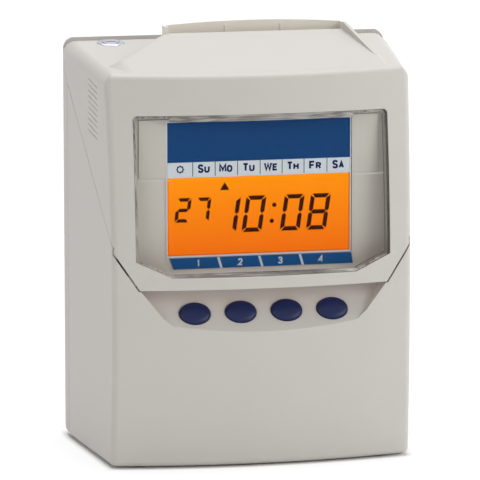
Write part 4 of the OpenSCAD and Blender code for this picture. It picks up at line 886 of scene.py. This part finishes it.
def make_lower():
    """The lower shell. The front form is hollowed, cut off under the seam and the chin, and the recess gets
    its walls. Posts of the button board and screw bosses are joined on, button holes and foot seats cut."""
    top = CHIN_Z - SEAM_GAP - 0.2
    back = PANEL_T / math.cos(math.radians(PANEL_TILT))
    seam = SEAM_FRONT_Z - SEAM_GAP * math.sqrt(1 + SEAM_SLOPE ** 2)
    lower = cut(front_form(0, SEAM_Y), front_form(WALL, SEAM_Y))
    cut(lower, half_space(CORNER_Y, seam, math.degrees(math.atan(SEAM_SLOPE)), True),
        chin(SEAM_GAP + 0.6), recess())
    walls = keep(front_form(0, SEAM_Y), prism(recess_outline(2, top), -FAR, 0, 1),
                 before_panel(70, top, -FAR, back))
    join(lower, cut(walls, recess()))
    post_len, post_r = 7.7, 1.8
    for x in (BUTTON_XS[:-1] + BUTTON_XS[1:]) / 2:
        join(lower, at_panel(rod((0, 0, -PANEL_T - post_len), (0, 0, 0.1 - PANEL_T), post_r, 2),
                             x, BUTTON_U))
    y0, y1 = SEAM_Y - BOSS_LEN, SEAM_Y - 0.2
    wall_x = float(half_w(np.array(y0))) - WALL / 2
    for side in (-1, 1):
        x, (x0, x1) = side * SCREW_X, side_span(side, SCREW_X, wall_x)
        for z in SCREW_ZS:
            join(lower, rod((x, y0, z), (x, y1, z), BOSS_R, 1),
                 block((x0, y0, z - RIB_HALF_T), (x1, y1, z + RIB_HALF_T)))
    for x in BUTTON_XS:
        hole = prism(oval(BUTTON_W + 2 * BUTTON_GAP, BUTTON_H + 2 * BUTTON_GAP), -6, 6, 2)
        cut(lower, at_panel(hole, x, BUTTON_U))
    for x, y in FOOT_POINTS:
        cut(lower, rod((x, y, BASE_Z - 1), (x, y, BASE_Z + 0.6), FOOT_R, 2))
    finish_piece(lower, "lower_shell", "case", "case", ["lower_case"])


# The rear case


def rear_block(d):
    """The rear case's form inset by d: its outlines from the front, the side and above, kept in common."""
    edge_r, side_r = REAR_EDGE_R - min(d, REAR_EDGE_R - 1), max(SIDE_TOP_R - d, 1)
    foot_r, rear_r = max(BOTTOM_R - d, 1), REAR_BOTTOM_R - d
    half, low, top, back = REAR_HALF_W - d, BASE_Z + d, RIM_Z - d, BACK_Y - d
    front = SEAM_Y + (-1 if d > 0 else SIDE_GROOVE)
    from_front = prism(np.concatenate([arc((half - foot_r, low + foot_r), foot_r, -90, 0, 8),
                                       arc((half - side_r, top - side_r), side_r, 0, 90, 14),
                                       arc((side_r - half, top - side_r), side_r, 90, 180, 14),
                                       arc((foot_r - half, low + foot_r), foot_r, 180, 270, 8)]),
                       front, back, 1)
    from_side = prism(np.concatenate([[(front, low)], arc((back - rear_r, low + rear_r), rear_r, -90, 0, 18),
                                      arc((back - edge_r, top - edge_r), edge_r, 0, 90, 12), [(front, top)]]),
                      -half - 1, half + 1, 0)
    from_above = prism(np.concatenate([[(-half, front), (half, front)],
                                       arc((half - edge_r, back - edge_r), edge_r, 0, 90, 12),
                                       arc((edge_r - half, back - edge_r), edge_r, 90, 180, 12)]), -5, FAR, 2)
    return keep(from_front, from_side, from_above)


def cover_room(g):
    """The room of the cover beside the rear case, grown by g: over the seam, and round the hinge's bead."""
    touch_y, touch_z = HINGE_Y + (BEAD_R + g) * math.sin(BEAD_A), HINGE_Z - (BEAD_R + g) * math.cos(BEAD_A)
    before = SEAM_Y - 1.3
    room = prism([(before, touch_z - (touch_y - before) * math.tan(BEAD_A)), (touch_y, touch_z),
                  (HINGE_Y, HINGE_Z), (HINGE_Y, FAR), (before, FAR)], -OUT, OUT, 0)
    return join(room, rod((-OUT - 0.5, HINGE_Y, HINGE_Z), (OUT + 0.5, HINGE_Y, HINGE_Z), BEAD_R + g, 0, 96),
                block((-OUT - 1, HINGE_Y - 1, HINGE_Z), (OUT + 1, HINGE_Y + BEAD_R + g, FAR)))


def make_rear():
    """The rear shell: its block is hollowed and cleared for the cover. Screw posts, hinge lugs and the hook
    of the lock's cam are joined on. Screw holes, pin holes, keyholes and the inlet's opening are cut out."""
    rear = cut(rear_block(0), rear_block(WALL), cover_room(SEAM_GAP))
    inside, deep, out = BACK_Y - WALL / 2, BACK_Y - WALL - 1, BACK_Y + 1
    for side in (-1, 1):
        x = side * SCREW_X
        for z in SCREW_ZS:
            join(rear, rod((x, SEAM_Y, z), (x, inside, z), POST_R, 1))
        x0, x1 = side_span(side, EAR_X + LUG_GAP, EAR_X + LUG_GAP + EAR_T)
        lug_front, lug_foot = HINGE_Y - LUG_HALF_T, HINGE_Z - 10
        join(rear, block((x0, lug_front, lug_foot), (x1, HINGE_Y + LUG_HALF_T, HINGE_Z)),
             block((x0, lug_front, lug_foot), (x1, inside, HINGE_Z - 6)),
             rod((x0, HINGE_Y, HINGE_Z), (x1, HINGE_Y, HINGE_Z), EAR_R, 0))
    tilt = math.atan(SHOULDER_SLOPE)
    cam_y = LOCK_Y + (LOCK_LEN + 1.6) * math.sin(tilt)
    cam_z = float(shoulder_z(LOCK_Y)) - (LOCK_LEN + 1.6) * math.cos(tilt)
    hook = LOCK_X + BARREL_R + 0.8
    join(rear, block((hook, cam_y - 5.9, cam_z + 1.6), (hook + 5, inside, cam_z + 4.2)),
         block((hook, cam_y - 5.9, cam_z - 1.6), (hook + 5, cam_y - 3.6, cam_z + 1.7)))
    for side in (-1, 1):
        x = side * SCREW_X
        for z in SCREW_ZS:
            cut(rear, rod((x, SEAM_Y - 1, z), (x, out, z), SCREW_R, 1),
                rod((x, BACK_Y - HEAD_DEPTH, z), (x, out, z), HEAD_R, 1))
        x0, x1 = side_span(side, EAR_X, EAR_X + 1 + EAR_T)
        cut(rear, rod((x0, HINGE_Y, HINGE_Z), (x1, HINGE_Y, HINGE_Z), PIN_R, 0))
        x, high = side * KEYHOLE_X, KEYHOLE_Z + KEYHOLE_RISE
        cut(rear, rod((x, deep, KEYHOLE_Z), (x, out, KEYHOLE_Z), KEYHOLE_R, 1),
            block((x - KEYHOLE_SLOT, deep, KEYHOLE_Z), (x + KEYHOLE_SLOT, out, high)),
            rod((x, deep, high), (x, out, high), KEYHOLE_SLOT, 1))
    cut(rear, block((INLET_X - INLET_HALF_W, deep, INLET_Z - INLET_HALF_H),
                    (INLET_X + INLET_HALF_W, out, INLET_Z + INLET_HALF_H)))
    finish_piece(rear, "rear_shell", "case", "rear_shell", ["rear_case"])


# Card guide, lock and buttons


def make_guide():
    """The slot's insert: a box whose top is a low parabola, the slot cut through, and two ribs behind it."""
    play, end_t, lip_t, foot, rib_x, rib_half_t = 0.25, 2, 1, 214, 16, 0.7
    front, left, right = GUIDE_FRONT + play, GUIDE_LEFT + play, GUIDE_RIGHT - play
    slot = front + lip_t
    x = np.linspace(left, right, 61)
    top = GUIDE_END_Z + GUIDE_ARCH * (1 - ((x - CARD_X) / (GUIDE_W / 2)) ** 2)
    guide = prism(np.concatenate([[(left, foot), (right, foot)], np.stack([x, top], -1)[::-1]]),
                  front, GUIDE_BACK, 1)
    half, mouth = 45, float(deck_z(LIP_Y))
    cut(guide, prism([(CARD_X - half, foot - 1), (CARD_X + half, foot - 1), (right - end_t, mouth - 2),
                      (right - end_t, FAR), (left + end_t, FAR), (left + end_t, mouth - 2)],
                     slot, slot + SLOT_D, 1),
        block((left + end_t, front - 1, mouth), (right - end_t, slot + 0.1, FAR)))
    for rib in (CARD_X - rib_x, CARD_X + rib_x):
        join(guide, block((rib - rib_half_t, slot + SLOT_D - 0.8, mouth - 6),
                          (rib + rib_half_t, slot + SLOT_D + 0.5, GUIDE_END_Z - 0.5)))
    finish_piece(guide, "slot_insert", "cover", "guide", ["card_guide"])


def make_lock():
    """The lock's ring: a profile turned about its axis, with a flat rim, soft edge and groove at the core."""
    profile = [(CORE_R + 0.1, -LOCK_LEN), (CORE_R + 0.1, -0.4), (CORE_R + 0.9, 0.6), (COLLAR_R - 1.3, 0.7),
               (COLLAR_R - 0.5, 0.6), (COLLAR_R - 0.1, 0.35), (COLLAR_R, 0.05), (BARREL_R, 0.05),
               (BARREL_R, -LOCK_LEN)]
    finish_piece(at_lock(turned(profile, 72)), "lock_ring", "cover", "lock_metal", ["lock_barrel"])


def make_button(number, x):
    """An oval button: rings of an ellipse that shrink over its crown as a flattened dome, a cosine to the
    power of 0.55 against a sine. It has a flange behind the panel and a stem on the switch."""
    over = np.linspace(0, np.pi / 2, 14)[:-1]
    share = np.concatenate([[1], np.cos(over) ** 0.55, [0.04]])
    height = np.concatenate([[-PANEL_T - 0.3], BUTTON_CROWN - DOME_H * (1 - np.sin(over)), [BUTTON_CROWN]])
    edge = oval(BUTTON_W, BUTTON_H)
    dome = solid(np.concatenate([share[:, None, None] * edge,
                                 np.broadcast_to(height[:, None, None], (len(height), len(edge), 1))], -1))
    flange, stem_r = 2.2, 1.9
    join(dome, prism(oval(BUTTON_W + flange, BUTTON_H + flange), -PANEL_T - 1.4, -PANEL_T - 0.2, 2),
         rod((0, 0, -PANEL_T - 2.1), (0, 0, -PANEL_T - 1.1), stem_r, 2))
    finish_piece(at_panel(dome, x, BUTTON_U), f"button_dome_{number}", f"button_{number}", "button",
                 [f"button_{number}"])


# Marks on the display

SEGMENTS = {"0": "abcdef", "1": "bc", "2": "abged", "7": "abc", "8": "abcdefg"}


def segment_outlines(lit, left, low, width, height, stroke, slant):
    """Outlines of the lit segments of one leaning seven-segment digit.

    Each segment is a bar with mitred ends, its outer corners trimmed, and every point is then shifted right
    by slant times its height."""
    gap, half, trim = stroke * 0.06, stroke / 2, stroke * 0.28
    w, h, m = width, height, height / 2
    bars = {
        "a": [(trim + gap, h), (w - trim - gap, h), (w - stroke - gap, h - stroke),
              (stroke + gap, h - stroke)],
        "d": [(trim + gap, 0), (w - trim - gap, 0), (w - stroke - gap, stroke), (stroke + gap, stroke)],
        "g": [(stroke * 0.6, m), (stroke + gap, m + half), (w - stroke - gap, m + half),
              (w - stroke * 0.6, m), (w - stroke - gap, m - half), (stroke + gap, m - half)],
        "f": [(0, h - trim - gap), (stroke, h - stroke - gap), (stroke, m + half + gap), (half, m + gap),
              (0, m + half)],
        "e": [(0, trim + gap), (stroke, stroke + gap), (stroke, m - half - gap), (half, m - gap),
              (0, m - half)],
    }
    bars["b"] = [(w - x, z) for x, z in bars["f"]]
    bars["c"] = [(w - x, z) for x, z in bars["e"]]
    return [np.array([(left + x + slant * z, low + z) for x, z in bars[name]]) for name in lit]


def make_segments():
    """The date and the time in segments, the arrow over them, and the two dots between hours and minutes."""
    date = {"low": 136.5, "width": 8.3, "height": 13.7, "stroke": 1.95, "slant": 0.12}
    time = {"low": 129.9, "width": 11.4, "height": 20.4, "stroke": 2.4, "slant": 0.15}
    marks, depth = [], 0.06
    for form, figures in ((date, (("2", -48.0), ("7", -36.8))),
                          (time, (("1", -24.5), ("0", -10.0), ("0", 11.8), ("8", 26.8)))):
        for figure, left in figures:
            marks += segment_outlines(SEGMENTS[figure], left, **form)
    marks.append([(-22.1, 154.0), (-16.7, 154.0), (-19.4, 158.4)])
    marks += [middle + oval(2.5, 2.5, 20) for middle in ([8.8, 144.7], [7.35, 135.7])]
    gather("lcd_marks", [plate(mark, GLYPH_Y - depth, depth) for mark in marks], "case", "lcd",
           "ink_maroon")


# Strokes of each letter in a box of 100 by 100, and how much wider than the others some are
LETTERS = {
    "S": [[(95, 80), (75, 97), (50, 100), (20, 95), (6, 76), (20, 57), (50, 50), (80, 42), (95, 23), (80, 5),
           (50, 0), (20, 4), (4, 21)]],
    "U": [[(0, 100), (0, 28), (15, 6), (50, 0), (85, 6), (100, 28), (100, 100)]],
    "M": [[(0, 0), (0, 100), (50, 22), (100, 100), (100, 0)]],
    "O": [[(50, 100), (15, 93), (0, 70), (0, 30), (15, 7), (50, 0), (85, 7), (100, 30), (100, 70), (85, 93),
           (50, 100)]],
    "T": [[(0, 97), (100, 97)], [(50, 97), (50, 0)]],
    "W": [[(0, 100), (24, 0), (50, 84), (76, 0), (100, 100)]],
    "E": [[(95, 100), (0, 100), (0, 0), (95, 0)], [(0, 52), (82, 52)]],
    "H": [[(0, 0), (0, 100)], [(100, 0), (100, 100)], [(0, 52), (100, 52)]],
    "F": [[(95, 98), (0, 98), (0, 0)], [(0, 50), (82, 50)]],
    "R": [[(0, 0), (0, 98), (65, 98), (95, 88), (95, 62), (65, 50), (0, 50)], [(55, 50), (98, 0)]],
    "A": [[(0, 0), (50, 100), (100, 0)], [(20, 32), (80, 32)]],
    "1": [[(10, 74), (50, 98), (50, 0)]],
    "2": [[(4, 74), (20, 95), (50, 100), (80, 94), (94, 73), (78, 48), (4, 0), (98, 0)]],
    "3": [[(5, 82), (24, 97), (50, 100), (84, 92), (92, 74), (78, 57), (45, 53), (84, 46), (98, 26), (84, 6),
           (50, 0), (20, 4), (2, 20)]],
    "4": [[(74, 0), (74, 98), (2, 30), (98, 30)]],
}
LETTER_WIDTHS = {"M": 1.25, "W": 1.45, "1": 0.6}


def lettering(letter, x, z, width, height, bold):
    """The raised strokes of one plain letter in a box of width by height, and how wide the box really is."""
    wide = width * LETTER_WIDTHS.get(letter, 1.0)
    return [stroke(np.asarray(path) * [wide / 100, height / 100] + [x, z], bold, PRINT_Y)
            for path in LETTERS[letter]], wide


def make_weekday_marks():
    """The weekdays between their dividing lines: a tall and a lower letter each, and in the first field a
    sun, which is a ring with eight dots round it."""
    edges = np.array([-LCD_HALF_W] + DAY_EDGES + [LCD_HALF_W])
    middles = (edges[:-1] + edges[1:]) / 2
    marks = []
    for (first, second), x in zip(("SU", "MO", "TU", "WE", "TH", "FR", "SA"), middles[1:]):
        start = x - 3.1 - (0.5 if first in "MW" else 0)
        tall, wide = lettering(first, start, 164.6, 2.5, 3.8, 1.12)
        low, _ = lettering(second, start + wide + 1.25, 164.6, 2.1, 3.0, 1.04)
        marks += tall + low
    sun = np.array([middles[0], 166.4])
    turn = np.linspace(0, 2 * np.pi, 33)
    marks.append(stroke(sun + 1.6 * np.stack([np.cos(turn), np.sin(turn)], -1), 0.62, PRINT_Y))
    marks += [plate(dot + oval(0.7, 0.7, 12), PRINT_Y) for dot in arc(sun, 2.05, 0, 315, 7)]
    marks += [block((x - 0.2, PRINT_Y, DAYS_LOW), (x + 0.2, PRINT_Y + INK_T, DAYS_TOP)) for x in DAY_EDGES]
    gather("weekday_marks", marks, "case", "blue_plate", "ink_blue")


def make_number_marks():
    """The buttons' numbers, and the slanting lines between them."""
    marks = []
    for digit, x in zip("1234", (-34.0, -10.7, 12.1, 35.3)):
        marks += lettering(digit, x - 1.0, 111.8, 2.1, 3.2, 0.84)[0]
    for x in (-22.3, 1.0, 24.2):
        marks.append(plate([(x + 0.2, NUMBERS_LOW), (x + 1.6, NUMBERS_LOW), (x - 0.2, NUMBERS_TOP),
                            (x - 1.6, NUMBERS_TOP)], PRINT_Y))
    gather("number_marks", marks, "case", "white_strip", "ink_white")


def make_display_lines():
    """Light edges beside and between the parts of the display, and a dark strip of painted shade in the
    gap at its right.
    """
    y, inner, outer, low, top = FASCIA_Y - PLATE_T - 0.1, 51.95, 52.5, 117.0, 193.2
    light = []
    for side in (-1, 1):
        x0, x1 = side_span(side, inner, outer)
        light.append(block((x0, y, low), (x1, y + 0.3, top)))
    half = inner - 0.05
    light += [block((-half, y, z0), (half, y + 0.3, z1))
              for z0, z1 in ((192.7, top), (161.6, 162.2), (low, 117.8))]
    gather("display_edges", light, "case", "white_strip")
    # painted shade: a dark strip where the gap at the display's right is in shade
    gap = block((outer + 0.05, y + 0.2, low), (outer + 0.45, y + 0.35, top - 0.2))
    gather("display_gap_painted_shade", [gap], "case", "dark_plastic")


# The window


def lens_y(x, z):
    """Y of the window's outer face: flat across its middle, following the case's front at its wings."""
    return front_y(np.maximum(np.abs(x), WINDOW_FLAT), z) + LENS_SINK + 0.2


def make_window():
    """A clear sheet, flat in its middle and bent back at two upright lines, over a grid of x by height."""
    half = WINDOW_HALF_W - 0.4
    x = np.concatenate([np.linspace(-half, -WINDOW_FLAT, 9), np.linspace(WINDOW_FLAT, half, 9)])
    slope = (WINDOW_SIDE - WINDOW_LOW) / (WINDOW_HALF_W - WINDOW_FLAT)
    low = WINDOW_LOW + 0.5 + np.maximum(0, np.abs(x) - WINDOW_FLAT) * slope
    z = low + (WINDOW_TOP - 0.4 - low) * np.linspace(0, 1, 25)[:, None]
    outer = np.stack([np.broadcast_to(x, z.shape), lens_y(x, z), z], -1)
    inner = outer + [0, SHEET_T, 0]
    finish_piece(solid(np.concatenate([outer, inner[:, ::-1]], 1)), "window_sheet", "cover", "clear",
                 ["window_lens"], smooth=12)


def make_window_rim():
    """The window's rim: a band between the opening's edge and the sheet, wider along the middle of its top
    and bottom. Its rings are rectangles between an outer and an inner point, set round the opening."""
    play, rim, wide_low, wide_top = 0.1, 1.1, 1.7, 3.3
    low, side, top = WINDOW_LOW + play, WINDOW_HALF_W - play, WINDOW_TOP - play
    corner, r = (WINDOW_HALF_W - WINDOW_R, WINDOW_TOP - WINDOW_R), WINDOW_R - play
    right = [((0, low), (0, low + wide_low)),
             ((WINDOW_FLAT - 0.4, low), (WINDOW_FLAT - 0.8, low + wide_low)),
             ((WINDOW_FLAT + 0.2, low + 0.1), (WINDOW_FLAT, low + 1.3)),
             ((side, WINDOW_SIDE + 0.1), (side - rim, WINDOW_SIDE + 0.7)),
             ((side, corner[1]), (side - rim, corner[1])),
             *zip(arc(corner, r, 15, 90, 5).tolist(), arc(corner, r - rim, 15, 90, 5).tolist()),
             ((WINDOW_FLAT + 0.3, top), (WINDOW_FLAT + 0.3, top - rim)),
             ((WINDOW_FLAT, top), (WINDOW_FLAT, top - wide_top)),
             ((0, top), (0, top - wide_top))]
    pairs = np.array(right)
    pairs = filled_in(np.concatenate([pairs, (pairs * [-1, 1])[-2:0:-1], pairs[:1]]))
    rings = np.empty((len(pairs), 4, 3))
    rings[:, :2, [0, 2]], rings[:, 2:, [0, 2]] = pairs, pairs[:, ::-1]
    y = front_y(pairs[..., 0], pairs[..., 1]) + LENS_SINK
    rings[:, 0, 1], rings[:, 1, 1] = y[:, 0], y[:, 1] + 0.25
    rings[:, 2, 1], rings[:, 3, 1] = lens_y(pairs[:, 1, 0], pairs[:, 1, 1]) + 0.1, y[:, 0] + 1.4
    finish_piece(shape(rings, band(len(rings), 4).tolist()), "window_rim", "cover", "clear",
                 finish="clear_rim")


def behind_sheet(path, width):
    """A flat bar along a path of (x, z) points, set just behind the sheet by the sheet's own formula."""
    line = stroke(filled_in(np.array(path)[:, None])[:, 0], width, 0.0, 0.2)
    points = points_of(line)
    points[:, 1] += lens_y(points[:, 0], points[:, 2]) + SHEET_T + 0.05
    return place_points(line, points)


def make_window_lines():
    """Lines in the window's wings: painted shade of its far wall at the right, and a painted highlight
    along a step level with the display's top.
    """
    wall = [(69.6, 194.6), (69.6, 118.7), (51.5, 110.4)]
    # painted shade: a dark line behind the sheet where the far wall at the right is in shade
    gather("wall_painted_shade", [behind_sheet(wall, 0.5)], "cover", "clear", "painted_shade_line")
    # painted highlight: light lines behind the sheet along the step
    step, inner, outer = LCD_TOP + 0.4, WINDOW_FLAT + 0.6, WINDOW_HALF_W - 1.4
    gather("step_painted_highlight", [behind_sheet([(x0, step), (x1, step)], 0.3)
                         for x0, x1 in ((inner, outer), (-outer, -inner))], "cover", "clear", "painted_highlight_line")


make_cover()
make_lower()
make_rear()
make_guide()
make_lock()
for index, place in enumerate(BUTTON_XS):
    make_button(index + 1, float(place))
make_window()
make_window_rim()
make_window_lines()
make_display_lines()
make_segments()
make_weekday_marks()
make_number_marks()

# Floor, background and lamps

WHITE = (1, 1, 1, 1)


def make_floor():
    """A white floor that shows the object's shadow close to it and turns plain white farther out.

    The distance from the object's footprint is the greatest of the distances from its tapering sides, from
    a parabola before its front, and from its back."""
    floor = bpy.data.objects.new("floor", bpy.data.meshes.new("floor"))
    floor.data.from_pydata([(-6, -6, 0), (6, -6, 0), (6, 6, 0), (-6, 6, 0)], [], [(0, 1, 2, 3)])
    bpy.context.scene.collection.objects.link(floor)
    finish = Finish("floor_white", base_color=paint(250, 250, 250), roughness=0.9)
    glow = finish.node("ShaderNodeEmission", values={"Color": WHITE, "Strength": 1.08})
    half, front_at, back_at, curve = 0.0932, 0.0530, 0.0575, 1.2
    x, y = finish.along("X"), finish.along("Y")
    beside = finish.math("ABSOLUTE", x, 0) + finish.math("MAXIMUM", SEAM_Y * MM - y, 0) * TAPER - half
    before = x * x * curve - y - front_at
    away = finish.math("MAXIMUM", finish.math("MAXIMUM", beside, before), y - back_at)
    near, far = (finish.clamp(away / reach) for reach in (0.004, 0.06))
    finish.mix_in(1 - finish.shown_rays() * (near * 0.75 + far * 0.25), glow)
    floor.data.materials.append(finish.material)


def make_background():
    """White for the rays that show the background, and a plain soft level of light for all others."""
    world = bpy.data.worlds.new("studio")
    sky = Tree(world)
    plain, white = (sky.node("ShaderNodeBackground", values={"Color": WHITE, "Strength": level})
                    for level in (0.33, 1.0))
    mixed = sky.node("ShaderNodeMixShader", values={0: sky.shown_rays(), 1: plain, 2: white})
    sky.put(sky.nodes["World Output"].inputs["Surface"], mixed)
    bpy.context.scene.world = world


make_floor()
make_background()
add_lamp("key", (1.7, -1.9, 1.1), 1.4, 17.2, (1, 0.985, 0.96))
add_lamp("fill", (-2.0, -1.6, 0.9), 1.6, 5.4, (1, 0.98, 0.945))
add_lamp("top", (0.1, 0.65, 2.4), 1.7, 35, (0.96, 0.98, 1))
add_lamp("side", (2.2, 0.1, 0.9), 1.2, 11)
